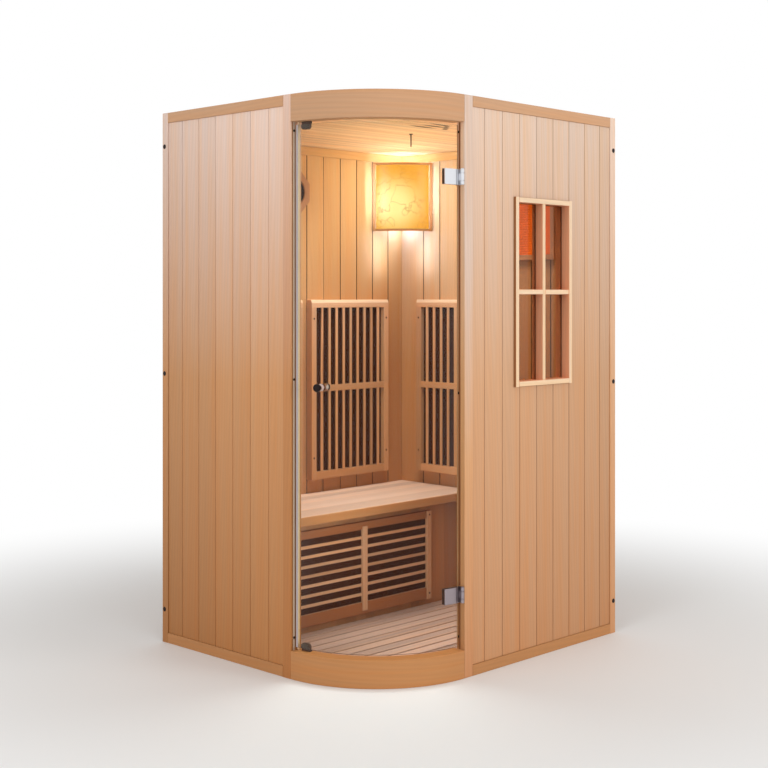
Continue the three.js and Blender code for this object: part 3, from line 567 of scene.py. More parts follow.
# Satin plating spreads highlights into soft bars.
CHROME = Moulded("satin_chrome_plate", "#E9EAEE", 0.28, 1.0, 0.8 * MM, 0.05)
# The lower hinge's plating is darker and rougher than the upper's.
LOWER_CHROME = Moulded("lower_hinge_chrome_plate", "#A69BA0", 0.38, 1.0, 0.8 * MM, 0.05)
# Brushed nickel, its colour tinted pink-brown: a painted reflection of the wood round it.
NICKEL = Moulded("brushed_nickel", "#C6AFA5", 0.18, 1.0, 0.8 * MM, 0.06)
# Textured ABS breaks highlights up into a dull sheen.
BLACK_ABS = Moulded("textured_black_abs", "#1A0C0B", 0.4, gloss=0.2)
GREY_ABS = Moulded("satin_grey_abs", "#4E3A32", 0.45, gloss=0.3)
# Dull rubber draws a dark line between metal and glass.
RUBBER = Moulded("brown_rubber_gasket", "#543828", 0.7)
# A matt dark brown strip: on the hinge side a seal whose dark also paints the shadow beside the glass,
# and on the latch side a painted shadow line.
SEAL_AND_SHADOW = Moulded("brown_seal_and_painted_shadow", "#8A5C3A", 0.7, gloss=0.2)
# A satin strip, its colour tinted beige: a painted reflection of the wood round it.
STRIKE = Moulded("satin_aluminium_strip", "#C8B09A", 0.45, 0.3, gloss=0.4)
# Carbon film under a matt laminate: near black, with a dull brown cast.
LAMINATE = Moulded("carbon_film_laminate", "#44210F", 0.7, grit=4 * MM, variety=0.15, gloss=0.05)
# Opal glass hides the filament, and glows evenly.
OPAL = Lit("opal_bulb_glass", "#FFF0D0", 1.0)
# Acrylic lit from its edges glows a deep even orange.
ORANGE = Lit("lit_orange_acrylic", "#EC7C22", 0.5)
# Powder coat has a fine orange peel that breaks its sheen.
POWDER_COAT = Moulded("light_grey_powder_coat", "#D8D8D4", 0.5, grit=0.9 * MM, bump=0.15)
# Pressed paper is dull and a little mottled; its brown is partly painted warm lamplight.
PAPER_CONE = Moulded("pressed_paper_cone", "#4A3120", 0.8, grit=2 * MM, variety=0.2)
# Black oxide leaves steel dark, with hardly a glint.
BLACK_SCREW = Moulded("black_oxide_steel", "#1C1512", 0.5, 0.2, gloss=0.2)
# A dark glossy pane hides the figures behind it.
DISPLAY = Moulded("smoked_display_acrylic", "#0B0C0D", 0.08, variety=0.05)
# Thick white ink stands a little proud of the key.
MARK = Moulded("white_pad_printing", "#E8E6E0", 0.5)


def mesh_of(shape: bmesh.types.BMesh, name: str) -> Mesh:
    """Turn a shape into a mesh, and free the shape.

    Args:
        shape: The shape.
        name: The mesh's name.

    Returns:
        The mesh.
    """
    mesh = bpy.data.meshes.new(name)
    shape.to_mesh(mesh)
    shape.free()
    return mesh


def evaluated(holder: bpy.types.Object) -> Mesh:
    """The mesh that an object's modifiers make, once the object itself is removed.

    Args:
        holder: The object that carries the modifiers.

    Returns:
        The made mesh.
    """
    bpy.context.scene.collection.objects.link(holder)
    graph = bpy.context.evaluated_depsgraph_get()
    source = holder.evaluated_get(graph)
    mesh = bpy.data.meshes.new_from_object(source, preserve_all_data_layers=True, depsgraph=graph)
    guide = holder.data
    bpy.data.objects.remove(holder)
    bpy.data.meshes.remove(guide)
    return mesh


def plain_mesh(holder: bpy.types.Object) -> Mesh:
    """Turn an object with modifiers into a plain mesh, and remove the object.

    Args:
        holder: The object that carries the modifiers.

    Returns:
        The evaluated mesh, shaded smooth between its sharp edges, with its large faces kept flat.
    """
    mesh = evaluated(holder)
    mesh.shade_smooth()
    mesh.set_sharp_from_angle(angle=SMOOTH_UNDER)
    holder = bpy.data.objects.new("flatter", mesh)
    flatter = holder.modifiers.new("flatter", "WEIGHTED_NORMAL")
    flatter.keep_sharp = True
    flatter.weight = 100
    return evaluated(holder)


class GeometryTool:
    """A Geometry Nodes tree with named inputs, which turns a guide mesh into finished pieces."""

    name = "tool"
    inputs: dict[str, str] = {}
    helpers: tuple[str, ...] = ()

    def __init__(self) -> None:
        """Build the tree."""
        self.graph = Graph(bpy.data.node_groups.new(self.name, "GeometryNodeTree"))
        face = self.graph.tree.interface
        sockets = {"Guide": "NodeSocketGeometry", **self.inputs, "Finish": "NodeSocketMaterial"}
        for label, kind in sockets.items():
            face.new_socket(label, in_out="INPUT", socket_type=kind)
        face.new_socket("Pieces", in_out="OUTPUT", socket_type="NodeSocketGeometry")
        given = self.graph.add("NodeGroupInput").outputs
        real = self.graph.add("GeometryNodeRealizeInstances", {"Geometry": self.wire(given)}).outputs[0]
        inputs = {"Geometry": real, "Material": given["Finish"]}
        done = self.graph.add("GeometryNodeSetMaterial", inputs).outputs[0]
        self.graph.add("NodeGroupOutput", {"Pieces": done})

    def wire(self, given: Outputs) -> Socket:
        """Add the nodes between input and output.

        Args:
            given: The outputs of the group's input node.

        Returns:
            The socket of the made geometry.
        """
        raise NotImplementedError

    def run(self, guide: Mesh, finish: Finish, **sizes: float | bool) -> Mesh:
        """Make the pieces.

        Args:
            guide: The mesh whose points or edges the pieces follow.
            finish: The finish of the pieces.
            sizes: A value for each named input.

        Returns:
            A plain mesh.
        """
        holder = bpy.data.objects.new(self.name, guide)
        modifier = holder.modifiers.new(self.name, "NODES")
        modifier.node_group = self.graph.tree
        values = {**sizes, "Finish": finish.material()}
        for item in self.graph.tree.interface.items_tree:
            if item.in_out == "INPUT" and item.name in values:
                modifier[item.identifier] = values[item.name]
        mesh = plain_mesh(holder)
        for helper in self.helpers:
            mesh.attributes.remove(mesh.attributes[helper])
        return mesh


def guide_mesh(
    points: Sequence[Vector], edges: Sequence[tuple[int, int]], layers: dict[str, Sequence[float | Vector]]
) -> Mesh:
    """Make a guide mesh with named values on its points.

    Args:
        points: The places of the points.
        edges: Pairs of points.
        layers: A number or a vector for each point, by name.

    Returns:
        The guide mesh.
    """
    mesh = bpy.data.meshes.new("guide")
    mesh.from_pydata(points, edges, [])
    for name, values in layers.items():
        if isinstance(values[0], Vector):
            layer = mesh.attributes.new(name, "FLOAT_VECTOR", "POINT")
            layer.data.foreach_set("vector", [x for value in values for x in value])
        else:
            layer = mesh.attributes.new(name, "FLOAT", "POINT")
            layer.data.foreach_set("value", values)
    return mesh


@dataclass(frozen=True)
class Bar:
    """A length of wood: its centre line, and its section measured across that line."""

    line: tuple[Vector, ...]
    across: Vector
    width: float
    thickness: float

    @classmethod
    def filling(cls, box: Box, run: Axis) -> "Bar":
        """A straight bar that fills a box.

        Args:
            box: The box.
            run: The axis along which the bar runs.

        Returns:
            The bar.
        """
        centre = (box[0] + box[1]) / 2
        size = box[1] - box[0]
        side = Axis((run.value + 1) % 3)
        half = run.vector * (size[run.value] / 2)
        return cls((centre - half, centre + half), side.vector, size[side.value], size[(run.value + 2) % 3])

    @classmethod
    def bent(cls, centre: Vector, radius: float, sweep: Pair, width: float, thickness: float) -> "Bar":
        """A bar bent about an upright axis.

        Args:
            centre: A point on that axis, at the height of the bar's middle.
            radius: The radius of the centre line.
            sweep: The angles at which it starts and ends.
            width: The upright size of the section.
            thickness: The radial size of the section.

        Returns:
            The bar, with a point about every two degrees.
        """
        steps = max(2, round(math.degrees(sweep[1] - sweep[0]) / 2))
        angles = [sweep[0] + (sweep[1] - sweep[0]) * i / steps for i in range(steps + 1)]
        line = tuple(centre + radius * Vector((math.cos(a), math.sin(a), 0.0)) for a in angles)
        return cls(line, UP, width, thickness)


class BarTool(GeometryTool):
    """Sweeps a rounded section along every guide line, each line with a section of its own.

    The made mesh keeps the run of the grain and the tone of each bar.
    """

    name = "rounded_bars"
    inputs = {"Rounding": "NodeSocketFloat"}
    helpers = ("across", "through", "profile", "along", "width", "thickness")

    def wire(self, given: Outputs) -> Socket:
        """Sweep a small rounded square, then push its corners out to each bar's own section."""
        graph = self.graph
        across, through, profile = (graph.carried(name) for name in self.helpers[:3])
        along, width, thickness = (graph.carried(name, "FLOAT") for name in self.helpers[3:])
        curve = graph.add("GeometryNodeMeshToCurve", {"Mesh": given["Guide"]}).outputs[0]
        inputs = {"Curve": curve, "Normal": across}
        curve = graph.add("GeometryNodeSetCurveNormal", inputs, mode="FREE").outputs[0]
        tangent = graph.add("GeometryNodeInputTangent").outputs[0]
        length = graph.add("GeometryNodeSplineParameter").outputs["Length"]
        curve = graph.stored(curve, "along", length, "FLOAT")
        curve = graph.stored(curve, "through", graph.vector("CROSS_PRODUCT", tangent, across))
        side = graph.math("MULTIPLY", given["Rounding"], 4.0)
        inputs = {"Width": side, "Height": side}
        square = graph.add("GeometryNodeCurvePrimitiveQuadrilateral", inputs).outputs[0]
        inputs = {"Curve": square, "Count": 2, "Radius": given["Rounding"]}
        section = graph.add("GeometryNodeFilletCurve", inputs, mode="POLY").outputs[0]
        section = graph.stored(section, "profile", graph.add("GeometryNodeInputPosition").outputs[0])
        inputs = {"Curve": curve, "Profile Curve": section, "Fill Caps": True}
        swept = graph.add("GeometryNodeCurveToMesh", inputs).outputs[0]

        corner = graph.add("ShaderNodeSeparateXYZ", {0: profile}).outputs
        half = graph.math("DIVIDE", side, 2.0)
        pushes, places = [], []
        for spot, size, way in ((corner[0], width, across), (corner[1], thickness, through)):
            grow = graph.math("SUBTRACT", graph.math("DIVIDE", size, 2.0), half)
            grow = graph.math("MULTIPLY", grow, graph.math("SIGN", spot))
            pushes.append(graph.scaled(way, grow))
            places.append(graph.math("ADD", spot, grow))
        grained = graph.stored(swept, "grain", graph.combined(*places, along))
        inputs = {"Geometry": grained, "Offset": graph.vector("ADD", *pushes)}
        return graph.add("GeometryNodeSetPosition", inputs).outputs[0]

    def make(self, seed: str, bars: Sequence[Bar], finish: Finish, rounding: float) -> Mesh:
        """Make bars.

        Args:
            seed: The word from which the bars' tones are drawn.
            bars: The bars.
            finish: Their finish.
            rounding: The radius of their long edges.

        Returns:
            A plain mesh of all the bars.
        """
        draw = random.Random(seed)
        points, edges, rows = [], [], []
        for bar in bars:
            tone = draw.random()
            first = len(points)
            points += bar.line
            edges += [(first + i, first + i + 1) for i in range(len(bar.line) - 1)]
            rows += [(tone, bar)] * len(bar.line)
        layers = {
            "tone": [tone for tone, _ in rows],
            "across": [bar.across for _, bar in rows],
            "width": [bar.width for _, bar in rows],
            "thickness": [bar.thickness for _, bar in rows],
        }
        return self.run(guide_mesh(points, edges, layers), finish, Rounding=rounding)


class FastenerTool(GeometryTool):
    """Sets a screw head, or a plain button cap, on every guide point, facing its own way."""

    name = "fasteners"
    inputs = {"Radius": "NodeSocketFloat", "Height": "NodeSocketFloat", "Slotted": "NodeSocketBool"}
    helpers = ("facing",)
    # The widths of the head's flat top and of its slot, as shares of its width.
    flat_share = 0.72
    slot_share = 0.22

    def wire(self, given: Outputs) -> Socket:
        """Build one head with a crossed slot, and set it on the points."""
        graph = self.graph
        radius, height = given["Radius"], given["Height"]
        top = graph.math("MULTIPLY", radius, self.flat_share)
        inputs = {"Vertices": 20, "Radius Top": top, "Radius Bottom": radius, "Depth": height}
        head = graph.add("GeometryNodeMeshCone", inputs).outputs["Mesh"]
        cut = graph.add("GeometryNodeMeshBoolean", {"Mesh 1": head}, operation="DIFFERENCE")
        thin = graph.math("MULTIPLY", radius, self.slot_share)
        lift = graph.combined(0.0, 0.0, height)
        for size in ((radius, thin, height), (thin, radius, height)):
            blade = graph.add("GeometryNodeMeshCube", {"Size": graph.combined(*size)}).outputs["Mesh"]
            raised = graph.add("GeometryNodeTransform", {"Geometry": blade, "Translation": lift}).outputs[0]
            graph.tree.links.new(raised, cut.inputs["Mesh 2"])
        inputs = {"Switch": given["Slotted"], "False": head, "True": cut.outputs["Mesh"]}
        chosen = graph.add("GeometryNodeSwitch", inputs, input_type="GEOMETRY").outputs[0]
        inputs = {"Vector": graph.carried("facing")}
        turn = graph.add("FunctionNodeAlignRotationToVector", inputs, axis="Z").outputs[0]
        inputs = {"Points": given["Guide"], "Instance": chosen, "Rotation": turn}
        return graph.add("GeometryNodeInstanceOnPoints", inputs).outputs[0]


BARS = BarTool()
FASTENERS = FastenerTool()


def slab(box: Box, axis: Axis, start: float, end: float) -> Box:
    """The part of a box between two places on an axis.

    Args:
        box: The box.
        axis: The axis.
        start: Where the part starts.
        end: Where it ends.

    Returns:
        The part's box.
    """
    low, high = box[0].copy(), box[1].copy()
    low[axis.value], high[axis.value] = start, end
    return low, high


def surround(box: Box, across: Axis, width: float) -> list[Bar]:
    """Two stiles, and the rails between them, round the rim of an upright box.

    Args:
        box: The box whose rim they fill.
        across: The level axis of the frame.
        width: The width of a stile and of a rail.

    Returns:
        Four bars.
    """
    low, high = box
    start, end = low[across.value], high[across.value]
    inner = slab(box, across, start + width, end - width)
    return [
        Bar.filling(slab(box, across, start, start + width), Axis.Z),
        Bar.filling(slab(box, across, end - width, end), Axis.Z),
        Bar.filling(slab(inner, Axis.Z, low.z, low.z + width), across),
        Bar.filling(slab(inner, Axis.Z, high.z - width, high.z), across),
    ]


def slat_row(box: Box, spread: Axis, run: Axis, count: int, size: float) -> list[Bar]:
    """Slats in a box, with equal gaps between them and at both ends.

    Args:
        box: The box that they stand in.
        spread: The axis along which they follow each other.
        run: The axis along which each one runs.
        count: How many there are.
        size: The width of each along spread.

    Returns:
        The slats.
    """
    start, end = box[0][spread.value], box[1][spread.value]
    pitch = (end - start + size) / (count + 1)
    firsts = [start - size + pitch * (i + 1) for i in range(count)]
    return [Bar.filling(slab(box, spread, first, first + size), run) for first in firsts]


def cut_at(shape: bmesh.types.BMesh, axis: Axis, places: Sequence[float]) -> None:
    """Cut the faces of a shape across.

    Args:
        shape: The shape.
        axis: The axis square to the cuts.
        places: Where the cuts lie on that axis.
    """
    for at in places:
        geom = [*shape.verts, *shape.edges, *shape.faces]
        bmesh.ops.bisect_plane(shape, geom=geom, plane_co=axis.vector * at, plane_no=axis.vector)


def rounded(mesh: Mesh, width: float, steps: int = 2, over: float = 30.0) -> Mesh:
    """Round the sharp edges of a mesh.

    Args:
        mesh: The mesh, which is used up.
        width: The width of the rounding, or zero for none.
        steps: How many faces each rounding has.
        over: The angle in degrees over which an edge is rounded.

    Returns:
        A plain mesh.
    """
    holder = bpy.data.objects.new(mesh.name, mesh)
    if width:
        bevel = holder.modifiers.new("rounding", "BEVEL")
        bevel.width = width
        bevel.segments = steps
        bevel.limit_method = "ANGLE"
        bevel.angle_limit = math.radians(over)
    return plain_mesh(holder)


def cad_copy(
    node: str, rounding: float = 0.0, steps: int = 2, over: float = 30.0, gap: Pair | None = None
) -> Mesh:
    """A merged copy of a solid with its sharp edges rounded.

    Args:
        node: The solid's node.
        rounding: The width of the rounding, or zero for none.
        steps: How many faces each rounding has.
        over: The angle in degrees over which an edge is rounded.
        gap: Where a gap along X that parts the copy starts and ends, if it has one.

    Returns:
        A plain mesh.
    """
    shape = bmesh.new()
    shape.from_mesh(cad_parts[node].data)
    bmesh.ops.remove_doubles(shape, verts=shape.verts, dist=MERGE_WITHIN)
    if gap:
        cut_at(shape, Axis.X, gap)
        between = [face for face in shape.faces if gap[0] < face.calc_center_median().x < gap[1]]
        bmesh.ops.delete(shape, geom=between, context="FACES")
        bmesh.ops.holes_fill(shape, edges=[edge for edge in shape.edges if edge.is_boundary])
        bmesh.ops.recalc_face_normals(shape, faces=shape.faces)
    bmesh.ops.dissolve_limit(shape, angle_limit=FLAT_UNDER, verts=shape.verts, edges=shape.edges)
    mesh = mesh_of(shape, node + "_copy")
    if "custom_normal" in mesh.attributes:
        mesh.attributes.remove(mesh.attributes["custom_normal"])
    return rounded(mesh, rounding, steps, over)


def give_grain(
    mesh: Mesh, run: Axis, across: Axis, seed: str, joints: Sequence[float] = (), groove: float = 0.0,
    fade: float = 0.0,
) -> Mesh:
    """Store the run of the grain on a copied mesh, and a tone for each of its boards.

    Args:
        mesh: The copied mesh.
        run: The axis along the grain.
        across: The axis along which boards follow each other.
        seed: The word from which the tones are drawn.
        joints: The places where boards meet.
        groove: How much the joints are darkened.
        fade: How far the tones fall steadily from board to board, rather than at random: painted shade.

    Returns:
        The same mesh.
    """
    order = (across.value, 3 - across.value - run.value, run.value)
    draw = random.Random(seed)
    last = max(len(joints), 1)
    tones = [(1 - fade) * draw.random() + fade * (1 - i / last) for i in range(len(joints) + 1)]
    grain = mesh.attributes.new("grain", "FLOAT_VECTOR", "POINT")
    grain.data.foreach_set("vector", [v.co[i] for v in mesh.vertices for i in order])
    tone = mesh.attributes.new("tone", "FLOAT", "FACE")
    places = [face.center[across.value] for face in mesh.polygons]
    tone.data.foreach_set("value", [tones[bisect.bisect(joints, place)] for place in places])
    if groove:
        least, most = NOTCH_SLOPES
        slopes = [abs(face.normal[across.value]) for face in mesh.polygons]
        dark = mesh.attributes.new("groove", "FLOAT", "FACE")
        dark.data.foreach_set("value", [groove * (least < slope < most) for slope in slopes])
    return mesh


def boards(node: str, run: Axis, across: Axis, groove: float, fade: float = 0.0) -> Mesh:
    """Copy a sheet of boards, which meet at the bottoms of its notches.

    Args:
        node: The sheet's node.
        run: The axis along the boards.
        across: The axis along which they follow each other.
        groove: How much the joints are darkened.
        fade: How far the tones fall steadily from board to board, as painted shade.

    Returns:
        A mesh with grain, and a tone for each board.
    """
    depth = 3 - run.value - across.value
    low, high = (corner[depth] + pad for corner, pad in zip(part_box(node), (SKIN, -SKIN)))
    points = [v.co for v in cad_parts[node].data.vertices if low < v.co[depth] < high]
    bottom = Counter(round(p[depth], 5) for p in points).most_common(1)[0][0]
    joints = sorted({round(p[across.value], 4) for p in points if abs(p[depth] - bottom) < LEVEL_WITHIN})
    return give_grain(cad_copy(node, BOARD_ROUNDING), run, across, node, joints, groove, fade)


def glued_panel(
    node: str, run: Axis, across: Axis, stave: float, seed: str, rounding: float, steps: int = 2
) -> Mesh:
    """Copy a panel of glued staves, with its faces cut where the staves meet.

    Args:
        node: The panel's node.
        run: The axis along the staves.
        across: The axis along which they follow each other.
        stave: Their width, about.
        seed: The word from which their tones are drawn.
        rounding: The width of the rounding of its edges.
        steps: How many faces each rounding has.

    Returns:
        A mesh with grain, and a tone for each stave.
    """
    low, high = (corner[across.value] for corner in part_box(node))
    count = round((high - low) / stave)
    joints = [low + (high - low) * (i + 1) / count for i in range(count - 1)]
    mesh = cad_copy(node, rounding, steps)
    shape = bmesh.new()
    shape.from_mesh(mesh)
    cut_at(shape, across, joints)
    shape.to_mesh(mesh)
    shape.free()
    return give_grain(mesh, run, across, seed, joints)


def lathe(
    profile: Sequence[Pair], base: Vector, way: Vector, segments: int, second: float = math.inf
) -> Mesh:
    """Turn a profile about a line.

    Args:
        profile: Radius and distance along the line of each point, from the line and back to it.
        base: Where the line starts.
        way: The direction of the line.
        segments: How many faces go round.
        second: The band of the profile from which the second finish starts, if there is one.

    Returns:
        A closed mesh.
    """
    turn = UP.rotation_difference(way)
    angles = [2 * math.pi * i / segments for i in range(segments)]
    shape = bmesh.new()
    rings = []
    for radius, reach in profile:
        spots = [Vector((radius * math.cos(a), radius * math.sin(a), reach)) for a in angles]
        rings.append([shape.verts.new(base + turn @ spot) for spot in (spots if radius else spots[:1])])
    for band, (near, far) in enumerate(zip(rings, rings[1:])):
        for i in range(segments):
            pairs = ((near, i), (near, i + 1), (far, i + 1), (far, i))
            corners = dict.fromkeys(ring[j % len(ring)] for ring, j in pairs)
            shape.faces.new(list(corners)).material_index = int(band >= second)
    bmesh.ops.recalc_face_normals(shape, faces=shape.faces)
    mesh = mesh_of(shape, "turned")
    mesh.shade_smooth()
    mesh.set_sharp_from_angle(angle=SMOOTH_UNDER)
    return mesh


def in_mm(*profile: Pair) -> list[Pair]:
    """A profile that is written down in millimetres."""
    return [(radius * MM, reach * MM) for radius, reach in profile]


def centre_of(node: str) -> Vector:
    """The middle of a solid's box."""
    return sum(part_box(node), Vector()) / 2


def paint(mesh: Mesh, choose: Callable[[bpy.types.MeshPolygon], int]) -> Mesh:
    """Give every face of a mesh a finish.

    Args:
        mesh: The mesh.
        choose: Gives the number of a face's finish.

    Returns:
        The same mesh.
    """
    for face in mesh.polygons:
        face.material_index = choose(face)
    return mesh


def place(
    name: str, mesh: Mesh, finishes: Finish | Sequence[Finish], slot: Slot, *nodes: str, body: str = "cabin"
) -> None:
    """Put a finished mesh into the scene as a piece of a body.

    Args:
        name: The piece's name.
        mesh: Its mesh, in place.
        finishes: Its finish, or one for each of its material slots.
        slot: The record's slot for its finish; not used.
        nodes: The solids that it stands for.
        body: The body that it rides on.
    """
    several = [finishes] if isinstance(finishes, Finish) else list(finishes)
    chosen = [face.material_index for face in mesh.polygons]
    mesh.materials.clear()
    for finish in several:
        mesh.materials.append(finish.material())
    mesh.polygons.foreach_set("material_index", [min(i, len(several) - 1) for i in chosen])
    piece = bpy.data.objects.new(name, mesh)
    bpy.context.scene.collection.objects.link(piece)
    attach(piece, body)
    if nodes:
        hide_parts(*nodes)
    LOG.info("%s rides on %s with %d faces", name, body, len(mesh.polygons))


def place_bars(
    name: str, seed: str, bars: Sequence[Bar], finish: Finish, rounding: float, *nodes: str,
    slot: Slot = Slot.HEMLOCK, body: str = "cabin",
) -> None:
    """Make bars, and put them into the scene as one piece.

    Args:
        name: The piece's name.
        seed: The word from which the bars' tones are drawn.
        bars: The bars.
        finish: Their finish.
        rounding: The radius of their long edges.
        nodes: The solids that the piece stands for.
        slot: The record's slot for its finish, handed on to place.
        body: The body that it rides on.
    """
    place(name, BARS.make(seed, bars, finish, rounding), finish, slot, *nodes, body=body)


def place_copy(
    name: str, node: str, finish: Finish, slot: Slot, rounding: float = 0.0, steps: int = 2,
    over: float = 30.0, body: str = "cabin",
) -> None:
    """Put a rounded copy of a solid into the scene in its stead.

    Args:
        name: The piece's name.
        node: The solid's node.
        finish: The finish.
        slot: The record's slot for its finish, handed on to place.
        rounding: The width of the rounding, or zero for none.
        steps: How many faces each rounding has.
        over: The angle in degrees over which an edge is rounded.
        body: The body that it rides on.
    """
    place(name, cad_copy(node, rounding, steps, over), finish, slot, node, body=body)


def place_fasteners(
    name: str, spots: Sequence[tuple[Vector, Vector]], finish: Finish, radius: float, height: float,
    slot: Slot = Slot.CHROME, slotted: bool = True,
) -> None:
    """Put screws or caps into the scene as one piece of the cabin.

    Args:
        name: The piece's name.
        spots: The seat of each, and the way that it faces.
        finish: Their finish.
        radius: The radius at the seat.
        height: How far a head stands proud.
        slot: The record's slot for their finish, handed on to place.
        slotted: Whether the heads have a crossed slot.
    """
    guide = guide_mesh([seat for seat, _ in spots], [], {"facing": [way for _, way in spots]})
    mesh = FASTENERS.run(guide, finish, Radius=radius, Height=height, Slotted=slotted)
    place(name, mesh, finish, slot)


def dress(finish: Finish, node: str) -> None:
    """Give a solid that stays in sight a finish."""
    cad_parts[node].material_slots[0].material = finish.material()
    LOG.info("%s keeps its solid in %s", node, finish.name)


@dataclass
class WallPanel:
    """A boarded wall: stiles, rails and studs, planks on both faces, and screw caps on its end stile."""

    name: str
    run: Axis
    outward: Vector
    has_stile: tuple[bool, bool]
    outer_finish: Hemlock = WOOD
    lining: Hemlock = WOOD
    cap_levels: tuple[float, ...] = ()
    stile: float = 32 * MM
    rail: float = 36 * MM
    stud: float = 30 * MM
    stud_depth: float = 25 * MM
    cap_radius: float = 8.5 * MM
    cap_height: float = 2 * MM
    cap_inset: float = 12 * MM
    rounding: float = 1.6 * MM
    outer_groove: float = 0.08
    # The outer boards darken board by board along the wall: painted shade.
    outer_painted_shade: float = 0.75
    inner_groove: float = 0.5

    def build(self) -> None:
        """Build the frame, the planks and the caps."""
        name, depth = self.name, Axis(1 - self.run.value)
        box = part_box(name + "_frame")
        outer = 0 if self.outward[depth.value] < 0 else 1
        uprights, rails = self.frame_bars(box, depth, outer)
        place_bars(name + "_stiles", name + " stiles", uprights, self.outer_finish, self.rounding, name + "_frame")
        place_bars(name + "_rails", name, rails, RAIL, self.rounding)
        for side, finish, groove, fade in (
            ("outer", self.outer_finish, self.outer_groove, self.outer_painted_shade),
            ("inner", self.lining, self.inner_groove, 0.0),
        ):
            node = f"{name}_{side}_boards"
            planks = boards(node, Axis.Z, self.run, groove, fade)
            place(f"{name}_{side}_planks", planks, finish, Slot.HEMLOCK, node)
        if self.cap_levels:
            spot = box[outer].copy()
            spot[self.run.value] = box[1][self.run.value] - self.cap_inset
            spots = [(Vector((spot.x, spot.y, z)), self.outward) for z in self.cap_levels]
            place_fasteners(
                name + "_screw_caps", spots, BLACK_ABS, self.cap_radius, self.cap_height,
                Slot.BLACK_PLASTIC, slotted=False,
            )

    def frame_bars(self, box: Box, depth: Axis, outer: int) -> tuple[list[Bar], list[Bar]]:
        """The bars of the frame.

        Args:
            box: The frame's box.
            depth: The axis through the wall.
            outer: Which corner of the box lies on the outer face.

        Returns:
            The stiles or studs at the ends, and the rails.
        """
        low, high = box[0][self.run.value], box[1][self.run.value]
        near, far = box[0][depth.value], box[1][depth.value]
        deep = (far - self.stud_depth, far) if outer == 0 else (near, near + self.stud_depth)
        uprights, rails, ends = [], [], [low, high]
        for end, is_stile in enumerate(self.has_stile):
            width = self.stile if is_stile else self.stud
            start = low if end == 0 else high - width
            part = slab(box, self.run, start, start + width)
            if is_stile:
                ends[end] += width if end == 0 else -width
            else:
                part = slab(slab(part, depth, *deep), Axis.Z, box[0].z + self.rail, box[1].z - self.rail)
            uprights.append(Bar.filling(part, Axis.Z))
        between = slab(box, self.run, *ends)
        for bottom in (box[0].z, box[1].z - self.rail):
            rails.append(Bar.filling(slab(between, Axis.Z, bottom, bottom + self.rail), self.run))
        return uprights, rails


